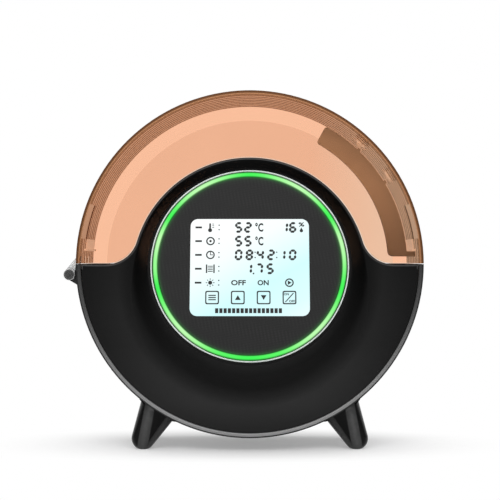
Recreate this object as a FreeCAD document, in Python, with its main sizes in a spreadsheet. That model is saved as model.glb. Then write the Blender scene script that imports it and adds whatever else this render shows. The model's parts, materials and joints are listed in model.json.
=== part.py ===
import FreeCAD, Part
import Sketcher
import os
import re

os.makedirs("parts", exist_ok=True)
doc = FreeCAD.newDocument("filament_dryer_box")
sheet = doc.addObject("Spreadsheet::Sheet", "dims")

# Sizes in millimetres and degrees; the drum axis runs front to back and the front face is depth zero
SIZES = {
    "drum_radius": "130",
    "drum_depth": "88",
    "ground_gap": "10.4",
    "tub_wall": "4",
    "rear_wall": "3",
    "rim_chamfer": "3",
    "rear_round": "5",
    "parting_gap": "0.6",
    "lid_wall": "2.5",
    "lid_round": "4",
    "lid_step_inset": "11.3",
    "lid_step": "0.7",
    "rib_count": "8",
    "rib_pitch": "9.5",
    "rib_start": "10",
    "rib_width": "0.9",
    "rib_rise": "0.6",
    "pad_bite": "0.4",
    "pad_rise": "1.6",
    "pad_start": "31",
    "pad_length": "42",
    "ledge_rise": "3.2",
    "ledge_start": "21.6",
    "ledge_length": "52.9",
    "strip_rise": "1.2",
    "strip_start": "4",
    "strip_length": "24",
    "plate_thick": "2.5",
    "plate_gap": "0.3",
    "arch_rim": "2.6",
    "arch_drop": "8.4",
    "flare_radius": "24",
    "arch_bevel": "1.6",
    "pod_tilt": "15",
    "pod_stand": "4.744",
    "pod_flare": "11",
    "pod_wall": "2.4",
    "lip_wall": "2.2",
    "seat_depth": "4.5",
    "seat_gap": "0.2",
    "ledge_thick": "2",
    "ledge_width": "4.1",
    "trim_radius": "72",
    "trim_width": "1",
    "trim_proud": "0.5",
    "light_gap": "0.6",
    "light_width": "3.5",
    "fascia_gap": "0.3",
    "fascia_thick": "1.8",
    "fascia_skirt": "2.4",
    "window_width": "87",
    "window_height": "73",
    "window_down": "1.75",
    "window_round": "5.8",
    "window_gap": "0.3",
    "panel_set": "0.1",
    "module_depth": "3.5",
    "module_side": "2",
    "module_end": "3",
    "tail_width": "30",
    "tail_height": "10",
    "tail_thick": "1",
    "led_radius": "1.2",
    "led_count": "24",
    "strip_thick": "0.8",
    "board_width": "80",
    "board_height": "56",
    "board_back": "12",
    "board_thick": "1.6",
    "board_down": "6",
    "board_inset": "4",
    "board_hole": "1.6",
    "spacer_radius": "2.4",
    "relay_height": "10",
    "cover_thick": "2.2",
    "cover_inset": "2",
    "vent_radius": "1.2",
    "vent_pitch": "4",
    "vent_drop": "52",
    "post_inset": "8.4",
    "post_radius": "3.5",
    "boss_inset": "4.7",
    "boss_radius": "4",
    "ear_radius": "6",
    "ear_depth": "9",
    "ear_thick": "3",
    "hinge_gap": "6.1",
    "hinge_down": "7.9",
    "knuckle_radius": "4.2",
    "knuckle_width": "11.4",
    "lug_width": "6",
    "lug_gap": "0.3",
    "lug_top": "7",
    "pin_radius": "1.5",
    "pin_fit_base": "0.02",
    "pin_fit_lid": "0.06",
    "station_front": "22",
    "bracket_sink": "1.5",
    "bracket_top": "2.7",
    "bracket_foot": "18",
    "groove_width": "1.6",
    "groove_depth": "1.2",
    "gasket_gap": "0.1",
    "gasket_rise": "0.2",
    "guide_gap": "7.9",
    "guide_width": "14.7",
    "guide_thick": "3",
    "guide_depth": "17",
    "guide_foot_top": "10",
    "guide_foot_height": "4.2",
    "guide_tab_width": "5",
    "guide_fit": "0.05",
    "notch_radius": "2.8",
    "outlet_upper": "47.5",
    "outlet_lower": "32.5",
    "outlet_bore": "2.1",
    "grommet_body": "4.4",
    "grommet_gap": "0.1",
    "grommet_flange": "6.5",
    "flange_thick": "1.2",
    "flange_gap": "0.25",
    "flange_room": "0.5",
    "plug_fit": "0.05",
    "plug_length": "6",
    "plug_lift": "0.35",
    "plug_cap": "2.25",
    "spool_radius": "100",
    "roller_radius": "8",
    "roller_length": "16",
    "roller_angle": "30",
    "roller_start": "8",
    "roller_fit": "0.06",
    "roller_edge": "0.8",
    "axle_radius": "2",
    "axle_end": "2",
    "axle_fit": "0.02",
    "clip_thick": "0.6",
    "clip_gap": "0.4",
    "bracket_wall": "3.5",
    "bracket_half": "6",
    "bracket_in": "8",
    "bracket_base": "2",
    "bracket_space": "1",
    "tray_rise": "22",
    "tray_thick": "1.5",
    "tray_half": "60",
    "tray_gap": "0.5",
    "rail_in": "6",
    "rail_out": "1.5",
    "rail_gap": "0.35",
    "rail_start": "10",
    "rail_hole": "6.5",
    "tray_screw_inset": "2.5",
    "tray_screw_start": "20",
    "tray_screw_length": "7",
    "grille_hole": "2.1",
    "grille_first": "6",
    "grille_second": "11.5",
    "fan_size": "40",
    "fan_depth": "10",
    "fan_bore": "18.6",
    "fan_corner": "4",
    "hub_radius": "9",
    "cup_thick": "2",
    "strut_width": "2.4",
    "strut_thick": "1.6",
    "blade_count": "7",
    "blade_gap": "0.4",
    "shaft_radius": "1.5",
    "shaft_fit": "0.06",
    "heater_start": "24",
    "heater_width": "22",
    "heater_length": "60",
    "heater_plate": "2",
    "heater_rise": "8.5",
    "fin_count": "16",
    "fin_thick": "1",
    "slot_width": "2.4",
    "slot_count": "9",
    "jack_step": "7.5",
    "jack_radius": "4",
    "jack_gap": "0.1",
    "socket_radius": "2.9",
    "socket_depth": "9.5",
    "contact_radius": "1.05",
    "foot_lean": "27",
    "foot_flare": "12",
    "foot_out": "81",
    "foot_tip": "9",
    "foot_centre": "8",
    "foot_length": "34",
    "foot_front": "20.5",
    "foot_lift": "0.4",
    "saddle_radius": "17",
    "saddle_thick": "2",
    "foot_pad_radius": "3.5",
    "foot_pad_thick": "1.3",
    "foot_pad_gap": "0.1",
    "screw_radius": "1.4",
    "pilot_gap": "0.05",
    "screw_gap": "0.3",
    "cover_screw_length": "8",
    "foot_screw_extra": "0.3",
    "foot_screw_length": "12",
}
for row, (name, text) in enumerate(SIZES.items(), start=1):
    sheet.set(f"A{row}", name)
    sheet.set(f"B{row}", text)
    sheet.setAlias(f"B{row}", name)
doc.recompute()

# Sizes that follow from the ones above, so that what fits stays fitted
DERIVED = {
    "tub_inner": "drum_radius - tub_wall",
    "lid_inner": "drum_radius - lid_wall",
    "axis_height": "drum_radius + ground_gap",
    "lid_step_radius": "drum_radius - lid_step_inset",
    "plate_radius": "tub_inner - plate_gap",
    "boss_ring": "plate_radius - boss_inset",
    "pod_lip_radius": "trim_radius + seat_gap + lip_wall",
    "pod_base_radius": "pod_lip_radius + pod_flare",
    "arch_radius": "pod_base_radius + arch_rim",
    "pod_reach": "pod_lip_radius * sin(pod_tilt) + pod_stand",
    "post_ring": "pod_base_radius - post_inset",
    "light_radius": "trim_radius - trim_width - light_gap",
    "fascia_radius": "light_radius - light_width - fascia_gap",
    "ledge_opening": "fascia_radius - ledge_width",
    "hinge_out": "drum_radius + hinge_gap",
    "station_rear": "drum_depth - station_front",
    "guide_outer": "lid_inner - guide_gap",
    "guide_inner": "guide_outer - guide_width",
    "roller_out": "(spool_radius + roller_radius) * sin(roller_angle)",
    "roller_drop": "(spool_radius + roller_radius) * cos(roller_angle)",
    "tray_drop": "tub_inner - tray_rise",
    "tray_bottom": "tray_drop + tray_thick",
    "rail_low": "sqrt(tub_inner ^ 2 - (tray_half - rail_in) ^ 2) - rail_gap",
    "jack_drop": "tray_bottom + jack_step",
    "foot_rear": "drum_depth - foot_front",
    "foot_drop": "axis_height - foot_centre",
    "foot_run": "foot_out * sin(foot_lean) + foot_drop * cos(foot_lean)",
    "foot_seat": "foot_run - sqrt(foot_run ^ 2 - foot_out ^ 2 - foot_drop ^ 2 + tub_inner ^ 2)",
    "axis_shift": "(hinge_gap + knuckle_radius) / 2",
    "face_shift": "(pod_reach + pod_lip_radius * sin(pod_tilt) - drum_depth) / 2",
}

WORD = re.compile(r"[a-z_][a-z0-9_]*")
SIDES = (("left", -1), ("right", 1))
EAR_ANGLES = (-12, -48, -132, -168)
POST_ANGLES = (35, 145, -35, -145)
DEEPER = ((-1, 0, 0), "90")
FORWARD = ((1, 0, 0), "90")
TRAY_SCREW_DEPTHS = ("tray_screw_start", "drum_depth - tray_screw_start")
HEATER_FIRST = "(drum_depth - heater_length) / 2"
# Raised places inside the lid wall: name, angle over the parting on either side, and span
LID_PADS = (("ledge", 4.6, 0.7), ("pad", 5.2, 3.5), ("strip", 8.7, 12))
PIECES = []


# Formulas name the sizes by their plain words
def spelled(found):
    word = found.group()
    if word in DERIVED:
        return f"({full(DERIVED[word])})"
    return f"dims.{word}" if word in SIZES else word


def full(formula):
    return WORD.sub(spelled, str(formula))


def value(formula):
    return float(sheet.evalExpression(full(formula)))


def bind(thing, prop, formula):
    thing.setExpression(prop, full(formula))


def put(thing, spot, turn=None):
    if turn:
        axis, angle = turn
        thing.Placement = FreeCAD.Placement(FreeCAD.Vector(), FreeCAD.Rotation(FreeCAD.Vector(*axis), value(angle)))
        bind(thing, "Placement.Rotation.Angle", angle)
    for letter, formula in zip("xyz", spot):
        bind(thing, f"Placement.Base.{letter}", formula)
    return thing


# A finished piece goes from the drum's own frame to the frame of the whole object
def piece(thing, spot=("0", "0", "0"), turn=None):
    home = ("axis_shift", "face_shift", "axis_height")
    put(thing, [f"{start} + ({step})" for start, step in zip(home, spot)], turn)
    PIECES.append(thing)
    return thing


def tilted_piece(thing):
    return piece(thing, ("0", "-pod_reach", "0"), ((1, 0, 0), "90 - pod_tilt"))


# Plain solids and their combinations
def cylinder(name, radius, height, spot=("0", "0", "0"), turn=None):
    made = doc.addObject("Part::Cylinder", name)
    bind(made, "Radius", radius)
    bind(made, "Height", height)
    return put(made, spot, turn)


def box(name, sides, spot=("0", "0", "0"), turn=None):
    made = doc.addObject("Part::Box", name)
    for prop, formula in zip(("Length", "Width", "Height"), sides):
        bind(made, prop, formula)
    return put(made, spot, turn)


def cut(name, whole, tools):
    made = doc.addObject("Part::Cut", name)
    made.Base = whole
    made.Tool = tools[0] if len(tools) == 1 else fuse(name + "_tools", tools)
    return made


def fuse(name, members):
    made = doc.addObject("Part::MultiFuse", name)
    made.Shapes = members
    return made


def common(name, members):
    made = doc.addObject("Part::MultiCommon", name)
    made.Shapes = members
    return made


def group(name, members):
    made = doc.addObject("Part::Compound", name)
    made.Links = members
    return made


def ring(name, outer, inner, height, spot=("0", "0", "0"), turn=None):
    rim = cylinder(name + "_rim", outer, height, spot, turn)
    return cut(name, rim, [cylinder(name + "_hole", inner, height, spot, turn)])


# Sketches and the features made from them
def body_of(name):
    return doc.addObject("PartDesign::Body", name)


def origin_part(body, role):
    return [part for part in body.Origin.OriginFeatures if part.Role == role][0]


def sketch(body, name, role, offset="0"):
    made = body.newObject("Sketcher::SketchObject", name)
    made.AttachmentSupport = [(origin_part(body, role), "")]
    made.MapMode = "FlatFace"
    bind(made, "AttachmentOffset.Base.z", offset)
    return made


def depth_sketch(body, name, depth="0"):
    return sketch(body, name, "XZ_Plane", f"-({depth})")


def level_sketch(body, name, level="0"):
    return sketch(body, name, "XY_Plane", level)


def limit(drawn, label, constraint, formula):
    number = drawn.addConstraint(constraint)
    drawn.renameConstraint(number, label)
    drawn.setExpression(f"Constraints.{label}", full(formula))


def hold(drawn, curve, point, spot, kinds=("DistanceX", "DistanceY")):
    for kind, formula in zip(kinds, spot):
        rule = Sketcher.Constraint(kind, -1, 1, curve, point, value(formula))
        limit(drawn, f"{kind}_{curve}_{point}", rule, formula)


def hold_radius(drawn, curve, formula):
    limit(drawn, f"Radius_{curve}", Sketcher.Constraint("Radius", curve, value(formula)), formula)


def polygon(drawn, corners):
    first = drawn.GeometryCount
    count = len(corners)
    spots = [FreeCAD.Vector(value(x), value(y), 0) for x, y in corners]
    for k in range(count):
        drawn.addGeometry(Part.LineSegment(spots[k], spots[(k + 1) % count]), False)
    for k in range(count):
        drawn.addConstraint(Sketcher.Constraint("Coincident", first + k, 2, first + (k + 1) % count, 1))
        hold(drawn, first + k, 1, corners[k])


def rectangle(drawn, left, right, low, high):
    polygon(drawn, [(left, low), (right, low), (right, high), (left, high)])


def circle(drawn, x, y, radius):
    middle = FreeCAD.Vector(value(x), value(y), 0)
    curve = drawn.addGeometry(Part.Circle(middle, FreeCAD.Vector(0, 0, 1), value(radius)), False)
    hold(drawn, curve, 3, (x, y))
    hold_radius(drawn, curve, radius)


def arc(drawn, middle, radius, start, end):
    centre = FreeCAD.Vector(value(middle[0]), value(middle[1]), 0)
    base = Part.Circle(centre, FreeCAD.Vector(0, 0, 1), value(radius))
    turn = 3.141592653589793 / 180
    return drawn.addGeometry(Part.ArcOfCircle(base, start * turn, end * turn), False)


def line(drawn, start, end):
    ends = [FreeCAD.Vector(value(x), value(y), 0) for x, y in (start, end)]
    return drawn.addGeometry(Part.LineSegment(*ends), False)


def meet(drawn, one, one_end, other, other_end, kind="Tangent"):
    drawn.addConstraint(Sketcher.Constraint(kind, one, one_end, other, other_end))


def round_rectangle(drawn, width, height, radius, y_shift):
    across = f"({width}) / 2 - ({radius})"
    up = f"({height}) / 2 - ({radius})"
    corners = ((-1, -1, 180), (1, -1, 270), (1, 1, 0), (-1, 1, 90))
    arcs = []
    for sx, sy, start in corners:
        spot = (f"{sx} * ({across})", f"{sy} * ({up}) + ({y_shift})")
        bend = arc(drawn, spot, radius, start, start + 90)
        hold(drawn, bend, 3, spot)
        hold_radius(drawn, bend, radius)
        arcs.append(bend)
    sides = []
    for k in range(4):
        tail = drawn.getPoint(arcs[k], 2)
        head = drawn.getPoint(arcs[(k + 1) % 4], 1)
        sides.append(drawn.addGeometry(Part.LineSegment(tail, head), False))
    for k in range(4):
        meet(drawn, arcs[k], 2, sides[k], 1)
        meet(drawn, sides[k], 2, arcs[(k + 1) % 4], 1)


# The edge between lid and front plate: flat, flare, arch over the screen, flare, flat
def arch_chain(drawn, half, arch, flare, level):
    rise = f"({flare}) + ({level})"
    spread = f"sqrt((({arch}) + ({flare})) ^ 2 - ({rise} + arch_drop) ^ 2)"
    lean = value(f"asin(({rise} + arch_drop) / (({arch}) + ({flare}))) / 1 deg")
    flat_left = line(drawn, (f"-({half})", level), (f"-{spread}", level))
    flare_left = arc(drawn, (f"-{spread}", rise), flare, -90, -lean)
    bow = arc(drawn, ("0", "-arch_drop"), arch, lean, 180 - lean)
    flare_right = arc(drawn, (spread, rise), flare, 180 + lean, 270)
    flat_right = line(drawn, (spread, level), (half, level))
    hold(drawn, flat_left, 1, (f"-({half})", level))
    hold(drawn, flat_right, 2, (level,), ("DistanceY",))
    hold(drawn, bow, 3, ("0", "-arch_drop"))
    for flat in (flat_left, flat_right):
        drawn.addConstraint(Sketcher.Constraint("Horizontal", flat))
    for bend, formula in ((flare_left, flare), (bow, arch), (flare_right, flare)):
        hold_radius(drawn, bend, formula)
    meet(drawn, flat_left, 2, flare_left, 1)
    meet(drawn, flare_left, 2, bow, 2)
    meet(drawn, bow, 1, flare_right, 1)
    meet(drawn, flare_right, 2, flat_right, 1)
    return flat_left, flat_right


def feature(body, kind, name, drawn, length, backwards):
    made = body.newObject("PartDesign::" + kind, name)
    made.Profile = drawn
    bind(made, "Length", length)
    made.Reversed = backwards
    doc.recompute()
    return made


def pad_deeper(body, name, drawn, length):
    return feature(body, "Pad", name, drawn, length, True)


def pad_up(body, name, drawn, length):
    return feature(body, "Pad", name, drawn, length, False)


def pocket(body, name, drawn, length):
    return feature(body, "Pocket", name, drawn, length, False)


def revolve(body, name, drawn, angle="360", backwards=False):
    made = body.newObject("PartDesign::Revolution", name)
    made.Profile = drawn
    made.ReferenceAxis = (drawn, ["V_Axis"])
    bind(made, "Angle", angle)
    made.Reversed = backwards
    doc.recompute()
    return made


def repeat_along(body, name, original, role, length, count):
    made = body.newObject("PartDesign::LinearPattern", name)
    made.Originals = [original]
    made.Direction = (origin_part(body, role), [""])
    bind(made, "Length", length)
    bind(made, "Occurrences", count)
    body.Tip = made
    doc.recompute()
    return made


def edges_where(shaped, wanted):
    return [f"Edge{k}" for k, edge in enumerate(shaped.Shape.Edges, start=1) if wanted(edge)]


def soften(body, kind, name, shaped, wanted, prop, formula):
    made = body.newObject("PartDesign::" + kind, name)
    made.Base = (shaped, edges_where(shaped, wanted))
    bind(made, prop, formula)
    doc.recompute()
    return made


def at_depth(edge, depth):
    limits = edge.BoundBox
    return abs(limits.YMin - depth) < 0.01 and abs(limits.YMax - depth) < 0.01


def is_round(edge, radius):
    return hasattr(edge.Curve, "Radius") and abs(edge.Curve.Radius - radius) < 0.01


# A screw along its own upright axis, the underside of its head at zero
def screw(name, radius, length, spot, turn=None):
    shank = cylinder(name + "_shank", radius, length, ("0", "0", f"-({length})"))
    head = cylinder(name + "_head", f"2 * ({radius})", f"1.3 * ({radius})")
    socket = doc.addObject("Part::Prism", name + "_socket")
    socket.Polygon = 6
    bind(socket, "Circumradius", radius)
    bind(socket, "Height", radius)
    bind(socket, "Placement.Base.z", f"0.6 * ({radius})")
    return put(cut(name, fuse(name + "_solid", [shank, head]), [socket]), spot, turn)


def ring_spots(radius, angles, drop="0"):
    return [(f"({radius}) * cos({angle})", f"({radius}) * sin({angle}) - ({drop})") for angle in angles]


# Lower half of the drum with its rear wall, ears, rails, hinge brackets and seal groove
def gasket_outline(drawn, inset):
    middle = "drum_radius - tub_wall / 2"
    out = f"{middle} + groove_width / 2 - ({inset})"
    inn = f"{middle} - groove_width / 2 + ({inset})"
    back = f"drum_depth - rear_wall / 2 + groove_width / 2 - ({inset})"
    near = f"drum_depth - rear_wall / 2 - groove_width / 2 + ({inset})"
    front = f"rear_round + ({inset})"
    polygon(drawn, [
        (f"-({out})", front), (f"-({out})", f"{back} - 3.2"), (f"-({out} - 2.8)", back),
        (f"{out} - 2.8", back), (out, f"{back} - 3.2"), (out, front),
        (inn, front), (inn, f"{near} - 1.2"), (f"{inn} - 0.8", near),
        (f"-({inn} - 0.8)", near), (f"-({inn})", f"{near} - 1.2"), (f"-({inn})", front),
    ])


def foot_axis_spot(side, reach):
    return (f"{side} * (foot_out - ({reach}) * sin(foot_lean))", f"-foot_drop + ({reach}) * cos(foot_lean)")


def foot_turn(side):
    return ((0, -side, 0), "foot_lean")


FOOT_PLACES = [(f"foot_{row}_{word}", side, f"foot_{row}") for row in ("front", "rear") for word, side in SIDES]


def make_tub():
    body = body_of("tub_moulding")
    section = level_sketch(body, "tub_section")
    rear_face = "drum_depth - rear_wall"
    polygon(section, [
        ("0", "drum_depth"), ("drum_radius", "drum_depth"), ("drum_radius", "rim_chamfer"),
        ("drum_radius - rim_chamfer", "0"), ("tub_inner", "0"), ("tub_inner", rear_face), ("0", rear_face),
    ])
    drum = revolve(body, "tub_drum", section, "180")
    rear_edge = value("drum_depth")
    outer = value("drum_radius")
    soften(body, "Fillet", "tub_rear_round", drum,
           lambda edge: at_depth(edge, rear_edge) and is_round(edge, outer), "Radius", "rear_round")
    spots = ring_spots("boss_ring", EAR_ANGLES)
    ears = depth_sketch(body, "ear_discs", "ear_depth")
    for x, z in spots:
        circle(ears, x, z, "ear_radius")
    pad_deeper(body, "ears", ears, "ear_thick")
    holes = depth_sketch(body, "ear_holes", "ear_depth")
    for x, z in spots:
        circle(holes, x, z, "screw_radius + screw_gap")
    pocket(body, "ear_bores", holes, "ear_thick")
    for word in ("front", "rear"):
        start = f"station_{word} - knuckle_width / 2"
        web = depth_sketch(body, f"bracket_web_{word}", start)
        polygon(web, [
            ("-(drum_radius - bracket_sink)", "-bracket_top"), ("-hinge_out", "-(hinge_down - knuckle_radius)"),
            ("-(hinge_out + 0.7 * knuckle_radius)", "-(hinge_down + 0.7 * knuckle_radius)"),
            ("-(drum_radius - 2 * bracket_sink)", "-bracket_foot"),
        ])
        pad_deeper(body, f"bracket_{word}", web, "knuckle_width")
        barrel = depth_sketch(body, f"knuckle_disc_{word}", start)
        circle(barrel, "-hinge_out", "-hinge_down", "knuckle_radius")
        pad_deeper(body, f"knuckle_{word}", barrel, "knuckle_width")
        bore = depth_sketch(body, f"knuckle_hole_{word}", start)
        circle(bore, "-hinge_out", "-hinge_down", "pin_radius + pin_fit_base")
        pocket(body, f"knuckle_bore_{word}", bore, "knuckle_width")
    rails = depth_sketch(body, "rail_section", "rail_start")
    for side in (-1, 1):
        rectangle(rails, f"{side} * (tray_half - rail_in)", f"{side} * (tray_half + rail_out)",
                  "-rail_low", "-tray_bottom")
    pad_deeper(body, "rails", rails, f"{rear_face} - rail_start + 0.5")
    pilots = level_sketch(body, "rail_pilots", "-tray_bottom")
    for side in (-1, 1):
        for depth in TRAY_SCREW_DEPTHS:
            circle(pilots, f"{side} * (tray_half - tray_screw_inset)", depth, "screw_radius + pilot_gap")
    pocket(body, "rail_holes", pilots, "rail_hole")
    inlet = depth_sketch(body, "jack_disc", f"{rear_face} - 1")
    circle(inlet, "0", "-jack_drop", "jack_radius + jack_gap")
    pocket(body, "jack_hole", inlet, "rear_wall + 2")
    groove = level_sketch(body, "seal_groove_line")
    gasket_outline(groove, "0")
    pocket(body, "seal_groove", groove, "groove_depth")
    drills = []
    for name, side, depth in FOOT_PLACES:
        x, z = foot_axis_spot(side, "foot_seat - 12")
        drills.append(cylinder(f"{name}_drill", "screw_radius + 2 * screw_gap", "16", (x, depth, z), foot_turn(side)))
    return cut("base_tub", body, drills)


# Front plate with the arch and the hollow, tilted screen pod
def pod_spot(out):
    return ("0", f"-pod_reach - ({out}) * cos(pod_tilt)", f"({out}) * sin(pod_tilt)")


POD_TURN = ((1, 0, 0), "90 - pod_tilt")


def hoop(name, radius, spot, turn):
    made = doc.addObject("Part::Circle", name)
    bind(made, "Radius", radius)
    return put(made, spot, turn)


def loft(name, sections):
    made = doc.addObject("Part::Loft", name)
    made.Sections = sections
    made.Solid = True
    made.Ruled = True
    return made


def make_front_cover():
    body = body_of("front_plate")
    outline = depth_sketch(body, "front_outline")
    left, right = arch_chain(outline, "plate_radius", "arch_radius", "flare_radius", "0")
    bowl = arc(outline, ("0", "0"), "plate_radius", 180, 360)
    meet(outline, bowl, 1, left, 1, "Coincident")
    meet(outline, bowl, 2, right, 2, "Coincident")
    outline.addConstraint(Sketcher.Constraint("Coincident", bowl, 3, -1, 1))
    plate = pad_deeper(body, "front_sheet", outline, "plate_thick")
    rim = value("plate_radius")
    soften(body, "Chamfer", "arch_edge", plate,
           lambda edge: at_depth(edge, 0) and not is_round(edge, rim), "Size", "arch_bevel")
    base_hoop = hoop("pod_base_hoop", "pod_base_radius", ("0", "1", "-arch_drop"), FORWARD)
    lip_hoop = hoop("pod_lip_hoop", "pod_lip_radius", pod_spot("0"), POD_TURN)
    skirt = loft("pod_skirt", [base_hoop, lip_hoop])
    bosses = []
    pilots = []
    for k, (x, z) in enumerate(ring_spots("boss_ring", EAR_ANGLES)):
        bosses.append(cylinder(f"boss_{k}", "boss_radius", "ear_depth - 1", (x, "1", z), DEEPER))
        pilots.append(cylinder(f"boss_pilot_{k}", "screw_radius + pilot_gap", "ear_depth - 3", (x, "3.5", z), DEEPER))
    solid = fuse("front_cover_solid", [body, skirt] + bosses)
    back_hoop = hoop("hollow_back_hoop", "pod_base_radius - pod_wall", ("0", "plate_thick + 0.5", "-arch_drop"),
                     FORWARD)
    ledge_back = "-(seat_depth + ledge_thick)"
    front_hoop = hoop("hollow_front_hoop", "pod_lip_radius - 1.7 * pod_wall", pod_spot(ledge_back), POD_TURN)
    hollow = loft("pod_hollow", [back_hoop, front_hoop])
    posts = []
    for k, (x, z) in enumerate(ring_spots("post_ring", POST_ANGLES, "arch_drop")):
        posts.append(cylinder(f"post_{k}", "post_radius", "60", (x, "plate_thick", z), FORWARD))
        pilots.append(cylinder(f"post_pilot_{k}", "screw_radius + pilot_gap", "cover_screw_length + 1",
                               (x, "plate_thick + 0.5", z), FORWARD))
    inside = cut("pod_inside", hollow, posts)
    seat = cylinder("pod_seat", "trim_radius + seat_gap", "seat_depth + 2", pod_spot("-seat_depth"), POD_TURN)
    opening = cylinder("pod_opening", "ledge_opening", "seat_depth + ledge_thick + 4",
                       pod_spot(f"{ledge_back} - 2"), POD_TURN)
    return cut("front_cover", solid, [inside, seat, opening] + pilots)


def make_back_cover():
    body = body_of("back_cover_sheet")
    disc = depth_sketch(body, "back_disc", "plate_thick")
    circle(disc, "0", "-arch_drop", "arch_radius - cover_inset")
    pad_deeper(body, "back_sheet", disc, "cover_thick")
    holes = depth_sketch(body, "back_holes", "plate_thick")
    for x, z in ring_spots("post_ring", POST_ANGLES, "arch_drop"):
        circle(holes, x, z, "screw_radius + seat_gap")
    for column in range(-2, 3):
        for row in range(3):
            circle(holes, f"{column} * vent_pitch", f"-vent_drop - {row} * vent_pitch", "vent_radius")
    pocket(body, "back_bores", holes, "cover_thick")
    below = box("back_cover_trim", ("2 * drum_radius", "cover_thick + 2", "drum_radius"),
                ("-drum_radius", "plate_thick - 1", "-(tray_drop - tray_gap) - drum_radius"))
    return cut("pod_back_cover", body, [below])


# Screen stack, drawn flat and then tilted with the pod
def make_screen():
    body = body_of("screen_fascia")
    face = level_sketch(body, "fascia_disc", "-fascia_thick")
    circle(face, "0", "0", "fascia_radius")
    pad_up(body, "fascia_sheet", face, "fascia_thick")
    skirt = level_sketch(body, "fascia_skirt_line", "-seat_depth")
    circle(skirt, "0", "0", "fascia_radius")
    circle(skirt, "0", "0", "fascia_radius - fascia_skirt")
    pad_up(body, "fascia_skirt", skirt, "seat_depth - fascia_thick + 0.4")
    window = level_sketch(body, "window_line")
    round_rectangle(window, "window_width", "window_height", "window_round", "-window_down")
    pocket(body, "window", window, "fascia_thick")
    tilted_piece(body)
    panel = body_of("lcd_panel")
    glass = level_sketch(panel, "panel_line", "-(fascia_thick + panel_set)")
    round_rectangle(glass, "window_width - 2 * window_gap", "window_height - 2 * window_gap",
                    "window_round - window_gap", "-window_down")
    pad_up(panel, "panel_sheet", glass, "fascia_thick - 0.4")
    tilted_piece(panel)
    module_back = "-(fascia_thick + panel_set + module_depth)"
    block = box("lcd_block", ("window_width + 2 * module_side", "window_height + 2 * module_end", "module_depth"),
                ("-window_width / 2 - module_side", "-window_height / 2 - module_end - window_down", module_back))
    tail = box("lcd_tail", ("tail_width", "tail_height", "tail_thick"),
               ("-tail_width / 2", "-window_height / 2 - 1 - window_down", f"{module_back} - tail_thick"))
    tilted_piece(fuse("lcd_module", [block, tail]))
    light = ring("light_ring", "light_radius", "light_radius - light_width", "seat_depth - 0.9",
                 ("0", "0", "-seat_depth + 1.2"))
    tilted_piece(light)
    trim = ring("trim_ring", "trim_radius", "trim_radius - trim_width", "seat_depth + trim_proud",
                ("0", "0", "-seat_depth"))
    tilted_piece(trim)
    strip = ring("led_strip", "light_radius + 0.3", "light_radius - light_width", "strip_thick",
                 ("0", "0", "-seat_depth"))
    chips = []
    count = int(value("led_count"))
    for k in range(count):
        x, y = ring_spots("light_radius - light_width / 2", (360 / count * k,))[0]
        chips.append(cylinder(f"led_{k}", "led_radius", "0.5", (x, y, "-seat_depth + strip_thick - 0.1")))
    tilted_piece(fuse("led_board", [strip] + chips))


def make_boards():
    top = "-board_back"
    low = "-board_back - board_thick"
    plate = box("board_plate", ("board_width", "board_height", "board_thick"),
                ("-board_width / 2", "-board_height / 2 - board_down", low))
    corners = [(f"{sx} * (board_width / 2 - board_inset)", f"{sy} * (board_height / 2 - board_inset) - board_down")
               for sx in (-1, 1) for sy in (-1, 1)]
    holes = []
    for k, (x, y) in enumerate(corners):
        holes.append(cylinder(f"board_hole_{k}", "board_hole", "board_thick", (x, y, low)))
    tilted_piece(cut("main_board", plate, holes))
    gap = "board_back - fascia_thick - panel_set - module_depth"
    spacers = [cylinder(f"spacer_{k}", "spacer_radius", gap, (x, y, top)) for k, (x, y) in enumerate(corners)]
    tilted_piece(group("board_spacers", spacers))
    parts = [
        box("relay", ("16", "13", "relay_height"), ("-34", "-2", f"{low} - relay_height")),
        box("controller", ("11", "11", "1.6"), ("-6", "-4", f"{low} - 1.6")),
        box("terminal", ("20", "8", "9"), ("-14", "-32", f"{low} - 9")),
        cylinder("capacitor_left", "5", "12", ("22", "-20", f"{low} - 12")),
        cylinder("capacitor_right", "4", "10", ("24", "2", f"{low} - 10")),
        box("fan_socket", ("8", "5", "6"), ("14", "-33", f"{low} - 6")),
    ]
    tilted_piece(group("board_parts", parts))


# Clear upper half of the drum
def segment(name, outer, inner, start, span, depth, length):
    rim = doc.addObject("Part::Cylinder", name + "_rim")
    bind(rim, "Radius", outer)
    bind(rim, "Height", length)
    rim.Angle = span
    rim.Placement = FreeCAD.Placement(FreeCAD.Vector(), FreeCAD.Rotation(0, -start, 90))
    bind(rim, "Placement.Base.y", f"{depth} + {length}")
    return cut(name, rim, [cylinder(name + "_core", inner, length, ("0", depth, "0"), DEEPER)])


def outlet_spot(angle, reach, depth="drum_depth / 2"):
    return (f"({reach}) * cos({angle})", depth, f"({reach}) * sin({angle})")


def outlet_turn(angle):
    return ((0, 1, 0), f"90 - {angle}")


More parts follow.
